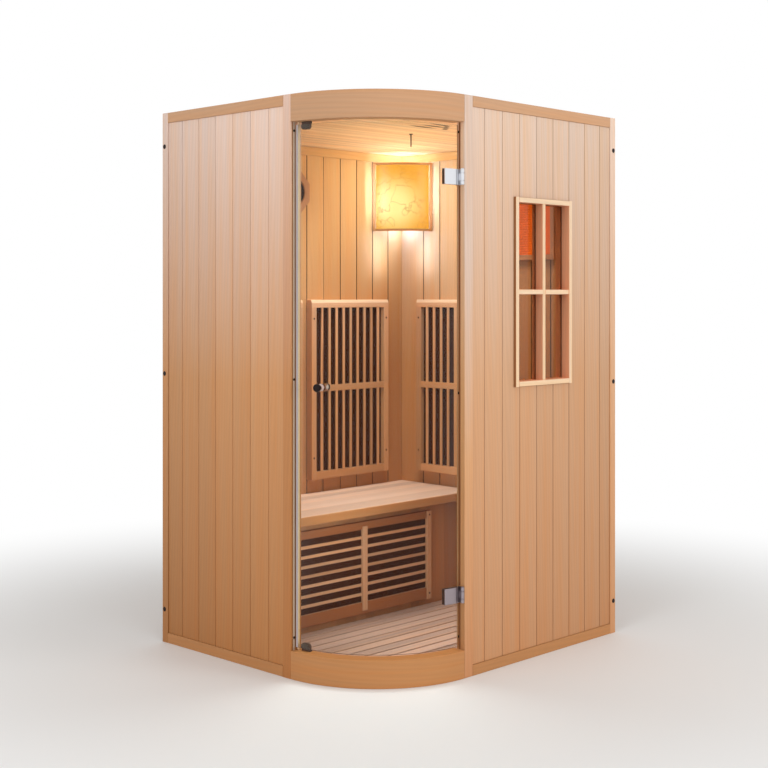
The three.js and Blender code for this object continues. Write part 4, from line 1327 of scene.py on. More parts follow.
@dataclass
class Doorway:
    """The frame of the door: two jambs, a bent lintel and sill, strips, two catches and screws."""

    rounding: float = 2 * MM
    strip_rounding: float = 1.2 * MM
    catch_rounding: float = 1.5 * MM
    # The bent rails stop just short of the jambs.
    slack: float = 0.3 * MM
    latch_screws: tuple[float, ...] = (1.7815, 0.972, 0.1325)
    hinge_screws: tuple[float, ...] = (1.779, 0.927, 0.1325)
    screw_depth: float = 26 * MM
    screw_radius: float = 4.5 * MM
    screw_height: float = 1.2 * MM
    seal_reach: Pair = (18 * MM, 24 * MM)
    seal_thickness: float = 1 * MM
    seal_clear: float = 3 * MM
    shadow_reach: Pair = (6 * MM, 10 * MM)
    shadow_thickness: float = 0.5 * MM
    strike_reach: Pair = (11 * MM, 19 * MM)
    strike_thickness: float = 1.2 * MM

    @property
    def centre(self) -> Vector:
        """The axis of the rounded corner, at floor level."""
        return Vector((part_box("hinge_jamb")[0].x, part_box("latch_jamb")[0].y, 0.0))

    @property
    def radius(self) -> float:
        """The outer radius of the rounded corner."""
        return self.centre.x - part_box("latch_jamb")[0].x

    def build(self) -> None:
        """Build the jambs, the bent rails, the strips, the catches and the screws."""
        latch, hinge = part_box("latch_jamb"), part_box("hinge_jamb")
        wall = latch[1].x - latch[0].x
        post = [Bar.filling(latch, Axis.Z)]
        place_bars("latch_jamb_post", "latch_jamb", post, POST, self.rounding, "latch_jamb")
        mesh = give_grain(cad_copy("hinge_jamb", self.rounding), Axis.Z, Axis.X, "hinge_jamb")
        # The reveal, facing the door, takes the darker plain wood: painted shade.
        paint(mesh, lambda face: int(face.normal.x < -0.5))
        place("hinge_jamb_post", mesh, (HINGE_POST, WOOD), Slot.HEMLOCK, "hinge_jamb")
        self.seal(hinge)
        self.strike(latch)
        slack = self.slack / (self.radius - wall)
        for node in ("door_lintel", "door_sill"):
            low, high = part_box(node)
            middle = self.centre + UP * centre_of(node).z
            sweep = (CORNER_START + slack, CORNER_END - slack)
            bar = Bar.bent(middle, self.radius - wall / 2, sweep, high.z - low.z, wall)
            place_bars(node + "_bent", node, [bar], RAIL, self.rounding, node)
        strip = [Bar.filling(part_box("door_stop_strip"), Axis.Z)]
        place_bars("latch_side_stop", "stop", strip, CREAM, self.strip_rounding, "door_stop_strip")
        for node in ("top_catch", "bottom_catch"):
            place_copy(node + "_block", node, GREY_ABS, Slot.GREY_PLASTIC, self.catch_rounding, 3)
        across, face = latch[0].x + sum(self.strike_reach) / 2, latch[0].y - self.strike_thickness
        spots = [(Vector((across, face, z)), FRONT) for z in self.latch_screws]
        inside = hinge[0].y + self.screw_depth
        spots += [(Vector((hinge[0].x, inside, z)), LEFT) for z in self.hinge_screws]
        place_fasteners("jamb_screws", spots, BLACK_SCREW, self.screw_radius, self.screw_height)

    def seal(self, jamb: Box) -> None:
        """Build the seal strip on the hinge jamb between the hinges; its dark brown is partly painted shadow.

        Args:
            jamb: The hinge jamb's box.
        """
        depth = [jamb[0].y + reach for reach in self.seal_reach]
        strip = slab(slab(jamb, Axis.Y, *depth), Axis.X, jamb[0].x - self.seal_thickness, jamb[0].x)
        ends = [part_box("door_sill")[1].z]
        for name in ("lower_hinge_leaf", "upper_hinge_leaf"):
            low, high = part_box(name)
            ends += [low.z - self.seal_clear, high.z + self.seal_clear]
        ends.append(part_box("door_lintel")[0].z)
        lengths = [Bar.filling(slab(strip, Axis.Z, *pair), Axis.Z) for pair in zip(ends[::2], ends[1::2])]
        rounding = self.seal_thickness / 4
        place_bars("hinge_side_seal_and_shadow", "seal", lengths, SEAL_AND_SHADOW, rounding, slot=Slot.BLACK_PLASTIC)

    def strike(self, jamb: Box) -> None:
        """Build the strike strip on the latch jamb, with a painted shadow line along its outer edge.

        Args:
            jamb: The latch jamb's box.
        """
        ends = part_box("door_sill")[1].z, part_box("door_lintel")[0].z
        for name, reach, thickness, finish in (
            ("latch_side_seal", self.shadow_reach, self.shadow_thickness, SEAL_AND_SHADOW),
            ("latch_side_strike", self.strike_reach, self.strike_thickness, STRIKE),
        ):
            strip = slab(jamb, Axis.X, jamb[0].x + reach[0], jamb[0].x + reach[1])
            strip = slab(slab(strip, Axis.Y, jamb[0].y - thickness, jamb[0].y), Axis.Z, *ends)
            bars = [Bar.filling(strip, Axis.Z)]
            place_bars(name, name, bars, finish, thickness / 4, slot=Slot.GREY_PLASTIC)


# The outline of a knob, from its foot on the glass to the tip, as radius and reach.
KNOB = in_mm(
    (0, 0), (12, 0), (12, 2), (11, 3.2), (9, 4), (7.3, 5.5), (6.5, 7.5), (6.5, 12.5), (8, 16), (11, 19.5),
    (12.5, 21.5), (12.5, 22.5), (13, 22.8), (13, 29), (12.4, 30.5), (11, 31.6), (9, 32), (0, 31.4),
)
# The black cap starts at this band of the outline.
KNOB_CAP = 11


@dataclass
class GlassDoor:
    """The bent glass door: glass with polished edges, a pair of knobs, and two hinges with gaskets."""

    centre: Vector
    radius: float
    setback: float = 20 * MM
    thickness: float = 8 * MM
    latch_gap: float = 5 * MM
    edge_rounding: float = 0.9 * MM
    knob_from_edge: float = 104 * MM
    knob_gap: float = 0.5 * MM
    band_width: float = 9 * MM
    band_thickness: float = 0.4 * MM
    clamp_gap_from_edge: float = 18 * MM
    clamp_gap: float = 1.6 * MM
    clamp_rounding: float = 1.8 * MM
    web_from_axis: float = 4.3 * MM
    plate_rounding: float = 0.7 * MM
    gasket_lip: float = 1.1 * MM
    gasket_end: float = 11 * MM
    gasket_inset: float = 1 * MM
    gasket_gap: float = 0.25 * MM
    gasket_thickness: float = 0.4 * MM
    leaf_screw_from_edges: Pair = (3 * MM, 4.5 * MM)
    leaf_screw_lift: float = 15 * MM
    leaf_screw_radius: float = 3 * MM
    leaf_screw_height: float = 0.6 * MM

    @property
    def outer(self) -> float:
        """The outer radius of the glass."""
        return self.radius - self.setback

    @property
    def inner(self) -> float:
        """The inner radius of the glass."""
        return self.outer - self.thickness

    @property
    def start(self) -> float:
        """The angle at which the glass starts, at the latch."""
        return CORNER_START + self.latch_gap / self.inner

    def build(self) -> None:
        """Build the glass, the knobs and the hinges."""
        self.glass()
        angle = self.start + self.knob_from_edge / self.outer
        out = Vector((math.cos(angle), math.sin(angle), 0.0))
        hub = self.centre + UP * centre_of("outer_knob").z
        for node, reach, way in (
            ("outer_knob", self.outer + self.knob_gap, out),
            ("inner_knob", self.inner - self.knob_gap, -out),
        ):
            mesh = lathe(KNOB, hub + out * reach, way, 40, KNOB_CAP)
            place(node + "_turned", mesh, (NICKEL, BLACK_ABS), Slot.BLACK_PLASTIC, node, body="door")
        self.hinge("upper_hinge", CHROME)
        self.hinge("lower_hinge", LOWER_CHROME)

    def glass(self) -> None:
        """Build the glass, its edges in finishes of their own, and a painted highlight at the latch."""
        mesh = paint(cad_copy("door_glass", self.edge_rounding, 2, 60), self.edge)
        finishes = (DOOR_GLASS, GLASS_EDGE, JAMB_BROWN_EDGE)
        place("bent_door_glass", mesh, finishes, Slot.DOOR_GLASS, "door_glass", body="door")
        # A thin grey band on the glass along the latch edge: a painted highlight of the polished edge.
        low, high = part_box("door_glass")
        middle = self.centre + UP * centre_of("door_glass").z
        sweep = (self.start, self.start + self.band_width / self.outer)
        thin = self.band_thickness
        band = [Bar.bent(middle, self.outer + thin / 2, sweep, high.z - low.z, thin)]
        slot = Slot.DOOR_GLASS
        place_bars("glass_edge_painted_highlight", "edge band", band, GLASS_EDGE, thin / 4, slot=slot, body="door")

    def edge(self, face: bpy.types.MeshPolygon) -> int:
        """Choose the finish of a face of the glass.

        Args:
            face: The face.

        Returns:
            Zero for clear glass, one for the latch edge and two for the hinge edge.
        """
        spoke = Vector((face.center.x - self.centre.x, face.center.y - self.centre.y, 0.0)).normalized()
        if abs(face.normal.dot(spoke)) >= 0.9:
            return 0
        return 1 if face.normal.y > 0.5 else 2 if face.normal.x > 0.5 else 0

    def hinge(self, name: str, plating: Moulded) -> None:
        """Build a hinge: clamp and gaskets on the glass, leaf and pin on the jamb.

        Args:
            name: The hinge's name.
            plating: The finish of its metal.
        """
        node = name + "_clamp"
        end = self.centre.x - self.web_from_axis - self.clamp_gap_from_edge
        mesh = cad_copy(node, self.clamp_rounding, 3, 50, (end - self.clamp_gap, end))
        place(node + "_plated", mesh, plating, Slot.CHROME, node, body="door")
        for part in (name + "_leaf", name + "_pin"):
            place_copy(part + "_plated", part, plating, Slot.CHROME, self.plate_rounding, 2, 50)
        low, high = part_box(node)
        middle = self.centre + UP * centre_of(node).z
        first = CORNER_END - (self.centre.x - low.x + self.gasket_lip) / self.outer
        sweep = (first, CORNER_END - self.gasket_end / self.outer)
        tall = high.z - low.z - 2 * self.gasket_inset
        pads = [
            Bar.bent(middle, radius, sweep, tall, self.gasket_thickness)
            for radius in (self.outer + self.gasket_gap, self.inner - self.gasket_gap)
        ]
        rounding = self.gasket_thickness / 4
        place_bars(name + "_gaskets", name, pads, RUBBER, rounding, slot=Slot.BLACK_PLASTIC, body="door")
        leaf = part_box(name + "_leaf")[1]
        inset = self.leaf_screw_from_edges
        face = Vector((leaf.x - inset[0], leaf.y - inset[1], middle.z))
        spots = [(face + UP * lift, LEFT) for lift in (-self.leaf_screw_lift, self.leaf_screw_lift)]
        radius, height = self.leaf_screw_radius, self.leaf_screw_height
        place_fasteners(name + "_leaf_screws", spots, plating, radius, height)


@dataclass
class Window:
    """The small window: outer frame with crossed bars, bronze pane, inner frame with crossed bars."""

    trim: float = 18 * MM
    bar: float = 17 * MM
    bar_setback: float = 3 * MM
    inner_bar_depth: float = 12 * MM
    rounding: float = 3 * MM

    def build(self) -> None:
        """Build both frames and dress the pane."""
        box = low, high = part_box("window_frame")
        bars = surround(box, Axis.X, self.trim)
        bars += self.cross(slab(box, Axis.Y, low.y + self.bar_setback, high.y))
        mesh = BARS.make("window_frame", bars, CREAM, self.rounding)
        # Front faces cream; side faces ruddy, painted bounce light in shade; the outer rim dark.
        paint(
            mesh, lambda face: 0 if abs(face.normal.y) >= 0.5 else 2 if self.on_rim(face.center, box) else 1
        )
        place("window_frame_bars", mesh, (CREAM, BOUNCE_LIT_RUDDY, DARK_RIM), Slot.HEMLOCK, "window_frame")
        node = "window_inner_frame"
        box = low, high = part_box(node)
        bars = surround(box, Axis.X, self.trim)
        bars += self.cross(slab(box, Axis.Y, low.y, low.y + self.inner_bar_depth))
        place_bars("window_inner_frame_bars", node, bars, BOUNCE_LIT_RUDDY, self.rounding / 2, node)
        dress(WINDOW_GLASS, "window_glass")

    @staticmethod
    def on_rim(spot: Vector, box: Box) -> bool:
        """Whether a place lies on the outer rim of an upright box."""
        return any(min(spot[i] - box[0][i], box[1][i] - spot[i]) < MM for i in (0, 2))

    def cross(self, box: Box) -> list[Bar]:
        """Cross a frame with bars.

        Args:
            box: The frame's box, as deep as the bars.

        Returns:
            An upright bar in the middle, and a level one on each side of it.
        """
        low, high = box
        across, level = (low.x + high.x) / 2, (low.z + high.z) / 2
        left, right = across - self.bar / 2, across + self.bar / 2
        upright = slab(slab(box, Axis.X, left, right), Axis.Z, low.z + self.trim, high.z - self.trim)
        flat = slab(box, Axis.Z, level - self.bar / 2, level + self.bar / 2)
        return [
            Bar.filling(upright, Axis.Z),
            Bar.filling(slab(flat, Axis.X, low.x + self.trim, left), Axis.X),
            Bar.filling(slab(flat, Axis.X, right, high.x - self.trim), Axis.X),
        ]


@dataclass
class Floor:
    """The duckboard: slats along the bench, on battens, cut back to the rounded corner."""

    centre: Vector
    radius: float
    corner_gap: float = 53 * MM
    slat: float = 46 * MM
    gap: float = 8 * MM
    thickness: float = 12 * MM
    batten: float = 40 * MM
    batten_pitch: float = 280 * MM
    batten_from_side: float = 26 * MM
    battens: int = 4
    rounding: float = 2.8 * MM

    def build(self) -> None:
        """Build the slats and battens, and dress the base under them."""
        dress(SUBFLOOR, "floor_base")
        box = low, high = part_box("floor_slats")
        top = slab(box, Axis.Z, high.z - self.thickness, high.z)
        bars = []
        edge = high.y
        while edge - self.slat > low.y:
            start = self.start(Axis.X, edge - self.slat, low.x)
            part = slab(slab(top, Axis.Y, edge - self.slat, edge), Axis.X, start, high.x)
            bars.append(Bar.filling(part, Axis.X))
            edge -= self.slat + self.gap
        under = slab(box, Axis.Z, low.z, top[0].z)
        for i in range(self.battens):
            end = high.x - self.batten_from_side - i * self.batten_pitch
            start = self.start(Axis.Y, end - self.batten, low.y)
            part = slab(slab(under, Axis.X, end - self.batten, end), Axis.Y, start, high.y)
            bars.append(Bar.filling(part, Axis.Y))
        place_bars("duckboard_slats", "duckboard", bars, DUCKBOARD, self.rounding, "floor_slats")

    def start(self, run: Axis, reach: float, least: float) -> float:
        """Where a bar starts, inside the rounded corner.

        Args:
            run: The axis along which it runs.
            reach: How near its side comes to the corner, on the other axis.
            least: Where a bar starts that is clear of the corner.

        Returns:
            The place on the bar's own axis.
        """
        corner = self.radius - self.corner_gap
        drop = min(max(self.centre[1 - run.value] - reach, 0.0), corner)
        return max(least, self.centre[run.value] - math.sqrt(corner**2 - drop**2))


# A thin probe with a flange at the ceiling, and the nut of the cable inlet, as radius and reach.
PROBE = in_mm((0, 0), (7.7, 0), (7.7, 1.5), (2.2, 3), (2.2, 44.8), (1.32, 46.56), (0, 47))
INLET_NUT = in_mm((9.2, 0), (14, 0), (14, 6), (12.5, 7), (9.2, 7), (9.2, 0))
# Spots of the knot in the ceiling and the streaks beside it: place and half sizes, in millimetres.
KNOT_SPOTS = (
    *((0.7 * i, 0.7 * i, 14, 14) for i in (-50, -25, 0, 25, 50)),
    (-75, 40, 80, 15), (-60, 0, 65, 13), (-70, -40, 60, 12),
)


@dataclass
class Roof:
    """Ceiling boards, the trim under them, the roof panel, the power box on it and the probe below."""

    groove: float = 0.15
    trim: float = 14 * MM
    trim_rounding: float = 3 * MM
    stave: float = 120 * MM
    panel_rounding: float = 1.5 * MM
    probe: Pair = (3 * MM, -90 * MM)
    knot: Pair = (-42 * MM, -298 * MM)
    knot_depth: float = 20 * MM
    case_rounding: float = 2.5 * MM
    screw_inset: float = 14 * MM
    screw_radius: float = 4 * MM
    screw_height: float = 1.8 * MM
    vents: int = 7
    vent: float = 5 * MM
    # Half sizes of the field of vents, and how far they go in and stand proud.
    vent_field: Pair = (60 * MM, 45 * MM)
    vent_depth: Pair = (0.4 * MM, 1.2 * MM)
    vent_rounding: float = 0.3 * MM

    def build(self) -> None:
        """Build the boards, the panel, the trim, the box and the probe."""
        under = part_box("ceiling_boards")[0].z
        knots = tuple(
            ((self.knot[0] + x * MM, self.knot[1] + y * MM, under), (wide * MM, deep * MM, self.knot_depth))
            for x, y, wide, deep in KNOT_SPOTS
        )
        # Flat-sawn boards show wide arches of grain, and here a dark knot.
        # Their pale gold top tone is partly painted lamplight.
        finish = Hemlock(
            "flat_sawn_hemlock", high="#F2D6B0", streak=55 * MM, streak_weight=0.34, ring=60 * MM, figure=0.2,
            knots=knots,
        )
        mesh = boards("ceiling_boards", Axis.X, Axis.Y, self.groove)
        place("ceiling_planks", mesh, finish, Slot.HEMLOCK, "ceiling_boards")
        mesh = glued_panel("roof_panel", Axis.X, Axis.Y, self.stave, "roof", self.panel_rounding)
        place("roof_panel_staves", mesh, WOOD, Slot.HEMLOCK, "roof_panel")
        self.moulding()
        self.power_box()
        mesh = lathe(PROBE, Vector((*self.probe, under)), -UP, 16)
        place("temperature_probe", mesh, BLACK_SCREW, Slot.CHROME)

    def moulding(self) -> None:
        """Build the trim between ceiling and walls."""
        box = low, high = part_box("ceiling_trim")
        latch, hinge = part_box("latch_jamb")[1].y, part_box("hinge_jamb")[1].x
        back, front = high.y - self.trim, low.y + self.trim
        left, right = low.x + self.trim, high.x - self.trim
        bars = [
            Bar.filling(slab(box, Axis.Y, back, high.y), Axis.X),
            Bar.filling(slab(slab(box, Axis.X, right, high.x), Axis.Y, low.y, back), Axis.Y),
            Bar.filling(slab(slab(box, Axis.X, low.x, left), Axis.Y, latch, back), Axis.Y),
            Bar.filling(slab(slab(box, Axis.Y, low.y, front), Axis.X, hinge, right), Axis.X),
        ]
        place_bars("ceiling_moulding", "ceiling_trim", bars, LAMPLIT_GOLDEN, self.trim_rounding, "ceiling_trim")

    def power_box(self) -> None:
        """Build the power box with its vents, cover screws and the nut of its cable inlet."""
        node = "power_box"
        place_copy("power_box_case", node, POWDER_COAT, Slot.STEEL, self.case_rounding, 3, 60)
        low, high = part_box(node)
        back = max(v.co.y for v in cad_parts[node].data.vertices if abs(v.co.z - high.z) < MM)
        inset = self.screw_inset
        spots = [
            (Vector((x, y, high.z)), UP)
            for x in (low.x + inset, high.x - inset)
            for y in (low.y + inset, back - inset)
        ]
        place_fasteners("power_box_screws", spots, CHROME, self.screw_radius, self.screw_height)
        centre = Vector(((low.x + high.x) / 2, (low.y + back) / 2, high.z))
        rows = (
            centre - Vector((*self.vent_field, self.vent_depth[0])),
            centre + Vector((*self.vent_field, self.vent_depth[1])),
        )
        slats = slat_row(rows, Axis.Y, Axis.X, self.vents, self.vent)
        slot = Slot.BLACK_PLASTIC
        place_bars("power_box_vents", "vents", slats, BLACK_ABS, self.vent_rounding, slot=slot)
        inlet = Vector((centre.x, back, (low.z + high.z) / 2))
        place("cable_inlet_nut", lathe(INLET_NUT, inlet, -FRONT, 6), BLACK_ABS, slot)


@dataclass
class Bench:
    """The bench: a seat of glued staves, the panel under it and its bearer."""

    stave: float = 60 * MM
    board: float = 50 * MM
    seat_rounding: float = 4 * MM
    panel_rounding: float = 1.5 * MM

    def build(self) -> None:
        """Build the seat and the panel, and dress the bearer."""
        seat = glued_panel("bench_seat", Axis.X, Axis.Y, self.stave, "seat", self.seat_rounding, 3)
        # The seat's front edge takes the darker rail finish: painted shade on the face turned from the light
        # above.
        paint(seat, lambda face: int(face.normal.y < -0.7))
        place("bench_seat_staves", seat, (PALE_SEAT, RAIL), Slot.HEMLOCK, "bench_seat")
        node = "bench_front_panel"
        panel = glued_panel(node, Axis.Z, Axis.X, self.board, "bench front", self.panel_rounding)
        place("bench_front_boards", panel, STAVES, Slot.HEMLOCK, node)
        dress(BEARER, "bench_bearer")


@dataclass
class HeaterGuard:
    """A slatted guard over a heater: frame, middle bar, slats, and screws through its stiles."""

    name: str
    across: Axis
    facing: Vector
    stile: float = 27 * MM
    top: float = 31 * MM
    bottom: float = 30 * MM
    slats: int = 9
    slat: float = 13 * MM
    slat_depth: float = 6 * MM
    slat_setback: float = 1 * MM
    screws_from_ends: Pair = (85 * MM, 74 * MM)
    screw_radius: float = 4 * MM
    screw_height: float = 0.8 * MM
    slat_finish: Hemlock = SLATS
    rail_finish: Hemlock = SLATS
    rounding: float = 1.6 * MM
    tray_thickness: float = 1 * MM
    tray_rounding: float = 0.2 * MM
    box: Box = field(init=False)
    depth: Axis = field(init=False)
    inward: int = field(init=False)
    front: float = field(init=False)
    wall: float = field(init=False)

    def __post_init__(self) -> None:
        """Find the guard's box, and which way its wall lies."""
        self.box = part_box(self.name + "_guard")
        self.depth = Axis(1 - self.across.value)
        self.inward = 1 if self.facing[self.depth.value] < 0 else -1
        ends = [corner[self.depth.value] for corner in self.box]
        self.front, self.wall = ends[:: self.inward]

    def build(self) -> None:
        """Build the guard and dress the heater behind it."""
        node = self.name + "_guard"
        inner = self.opening()
        mesh = BARS.make(node, self.bars(), WOOD, self.rounding)
        # Faces above and below the opening take the rail finish; on the foot guard it is partly painted
        # shade.
        paint(mesh, lambda face: int(not inner[0].z < face.center.z < inner[1].z))
        place(node + "_slats", mesh, (self.slat_finish, self.rail_finish), Slot.HEMLOCK, node)
        dress(LAMINATE, self.name + "_element")
        tray = [Bar.filling(self.layer(inner, self.wall, -self.tray_thickness), self.across)]
        seed = self.name + " tray"
        place_bars(self.name + "_tray", seed, tray, LAMINATE, self.tray_rounding, slot=Slot.HEATER)
        low, high = (corner[self.across.value] for corner in self.box)
        bottom, top = self.screws_from_ends
        spots = [
            (self.at(self.front, along, level), self.facing)
            for along in (low + self.stile / 2, high - self.stile / 2)
            for level in (self.box[0].z + bottom, self.box[1].z - top)
        ]
        place_fasteners(node + "_screws", spots, BLACK_SCREW, self.screw_radius, self.screw_height)

    def at(self, through: float, along: float, height: float) -> Vector:
        """Find a point of the guard.

        Args:
            through: Its depth.
            along: Its place along the guard.
            height: Its height.

        Returns:
            The point in the shared frame.
        """
        spot = Vector((0.0, 0.0, height))
        spot[self.depth.value], spot[self.across.value] = through, along
        return spot

    def layer(self, box: Box, start: float, thickness: float) -> Box:
        """The part of a box in a layer that starts at a depth and goes on towards the wall."""
        return slab(box, self.depth, *sorted((start, start + self.inward * thickness)))

    def opening(self) -> Box:
        """Find the opening of the frame.

        Returns:
            The guard's box inside its stiles and rails.
        """
        low, high = self.box
        start, end = low[self.across.value] + self.stile, high[self.across.value] - self.stile
        return slab(slab(self.box, self.across, start, end), Axis.Z, low.z + self.bottom, high.z - self.top)

    def stiles(self, top: float) -> list[Bar]:
        """Make the two stiles.

        Args:
            top: The height of their top ends.

        Returns:
            Both stiles.
        """
        low, high = (corner[self.across.value] for corner in self.box)
        upright = slab(self.box, Axis.Z, self.box[0].z, top)
        starts = (low, high - self.stile)
        return [Bar.filling(slab(upright, self.across, x, x + self.stile), Axis.Z) for x in starts]

    def slat_bars(self, setback: float, spread: Axis, run: Axis) -> list[Bar]:
        """The slats, at a depth behind the front of the guard."""
        field_box = self.layer(self.opening(), self.front + self.inward * setback, self.slat_depth)
        return slat_row(field_box, spread, run, self.slats, self.slat)

    def bars(self) -> list[Bar]:
        """The bars of the guard."""
        raise NotImplementedError


@dataclass
class BackGuard(HeaterGuard):
    """A tall guard to lean on: upright slats, a middle rail, and a bevelled top rail."""

    middle: float = 25 * MM
    middle_height: float = 356 * MM
    bevel_height: float = 12 * MM
    bevel_depth: float = 5 * MM

    def build(self) -> None:
        """Build the guard with its bevelled top rail, and dress the heater behind it."""
        super().build()
        self.top_rail()

    def bars(self) -> list[Bar]:
        """Make the bars under the top rail.

        Returns:
            Stiles, bottom rail, slats and middle rail.
        """
        low, high = self.box
        inner = self.opening()
        rail = slab(inner, Axis.Z, low.z, low.z + self.bottom)
        centre = low.z + self.middle_height
        middle = slab(inner, Axis.Z, centre - self.middle / 2, centre + self.middle / 2)
        middle = self.layer(middle, self.front, self.slat_setback + self.slat_depth)
        return [
            *self.stiles(high.z - self.top),
            Bar.filling(rail, self.across),
            *self.slat_bars(self.slat_setback, self.across, Axis.Z),
            Bar.filling(middle, self.across),
        ]

    def top_rail(self) -> None:
        """Build the top rail, with its upward bevel in paler cream wood: painted light from above."""
        top, bottom = self.box[1].z, self.box[1].z - self.top
        outline = [
            (self.front, bottom),
            (self.front, top - self.bevel_height),
            (self.front + self.inward * self.bevel_depth, top),
            (self.wall, top),
            (self.wall, bottom),
        ]
        shape = bmesh.new()
        near, far = (
            [shape.verts.new(self.at(deep, corner[self.across.value], up)) for deep, up in outline]
            for corner in self.box
        )
        shape.faces.new(near)
        shape.faces.new(far)
        for i in range(len(outline)):
            shape.faces.new([near[i - 1], near[i], far[i], far[i - 1]])
        bmesh.ops.recalc_face_normals(shape, faces=shape.faces)
        mesh = rounded(mesh_of(shape, "rail"), self.rounding / 2)
        rail = give_grain(mesh, self.across, Axis.Z, self.name + " rail")
        # Faces that look up and out, the bevel, take the paler cream: painted light from above.
        paint(rail, lambda face: int(face.normal.z > 0.2 and face.normal.dot(self.facing) > 0.2))
        place(self.name + "_top_rail", rail, (WOOD, CREAM), Slot.HEMLOCK)


@dataclass
class FootGuard(HeaterGuard):
    """The wide guard under the bench: level slats, and uprights that stand proud of the rails."""

    stile: float = 24 * MM
    top: float = 29 * MM
    bottom: float = 44 * MM
    slats: int = 7
    slat: float = 11 * MM
    screws_from_ends: Pair = (22 * MM, 15 * MM)
    slat_finish: Hemlock = PALE
    rail_finish: Hemlock = RED_RAILS_AND_SHADE
    proud: float = 5 * MM
    batten: float = 24 * MM
    laps: Pair = (30 * MM, 12 * MM)

    def bars(self) -> list[Bar]:
        """Make the bars of the guard.

        Returns:
            Stiles, rails set back from them, slats, and the batten that laps both rails.
        """
        low, high = self.box
        inner = self.opening()
        recess = self.front + self.inward * self.proud
        rails = [
            self.layer(slab(inner, Axis.Z, *ends), recess, abs(self.wall - recess))
            for ends in ((low.z, low.z + self.bottom), (high.z - self.top, high.z))
        ]
        centre = (low[self.across.value] + high[self.across.value]) / 2
        batten = slab(self.box, self.across, centre - self.batten / 2, centre + self.batten / 2)
        batten = slab(batten, Axis.Z, inner[0].z - self.laps[0], inner[1].z + self.laps[1])
        batten = self.layer(batten, self.front, self.proud + self.slat_setback + self.slat_depth)
        return [
            *self.stiles(high.z),
            *[Bar.filling(rail, self.across) for rail in rails],
            *self.slat_bars(self.proud + self.slat_setback, Axis.Z, self.across),
            Bar.filling(batten, Axis.Z),
        ]


@dataclass
class CornerLamp:
    """The lamp across the rear corner: thin frame, bowed veined shade, holder and bulb."""

    glow_from_bulb: Point = (-90 * MM, -40 * MM, -45 * MM)
    frame_rounding: float = 1 * MM
    shade_rounding: float = 0.5 * MM

    def build(self) -> None:
        """Build the frame and the shade, and dress what stands behind it."""
        mesh = give_grain(cad_copy("lamp_frame", self.frame_rounding), Axis.Z, Axis.X, "lamp frame")
        place("corner_lamp_frame", mesh, DARK_BROWN_FRAME, Slot.HEMLOCK, "lamp_frame")
        glow = centre_of("lamp_bulb") + Vector(self.glow_from_bulb)
        # Veined acrylic glows like thin stone, brightest in front of the bulb.
        shade = Alabaster("veined_amber_acrylic", bulb=tuple(glow))
        place_copy("bowed_lamp_shade", "lamp_shade", shade, Slot.SHADE, self.shade_rounding)
        place_copy("corner_lamp_bulb", "lamp_bulb", OPAL, Slot.BULB)
        dress(BLACK_ABS, "lamp_holder")


# The strokes of the sign on each key: middle across and up, width and height, in millimetres.
SIGNS = {
    "power_button": ((0, 2, 1.3, 4), (-4, -1.3, 1.3, 4), (4, -1.3, 1.3, 4), (0, -4, 6.7, 1.3)),
    "warmer_button": ((0, 0, 8, 1.3), (0, 2.325, 1.3, 3.35), (0, -2.325, 1.3, 3.35)),
    "cooler_button": ((0, 0, 8, 1.3),),
}
# The outline of the driver inwards from its rim, back from its front, in millimetres: rim, roll and cone.
DRIVER_ROLL = ((0, 0), (4, 0), (5, 2), (7, 0.5), (9.5, 1), (11, 3.5))
# The rest of the cone and its dust cap, as shares of the rim and millimetres back from the front.
DRIVER_CONE = ((0.34, 11), (0.3, 8), (0.17, 5.5), (0.0, 4.8))
# The paper cone starts at this band of the outline.
DRIVER_PAPER = 5


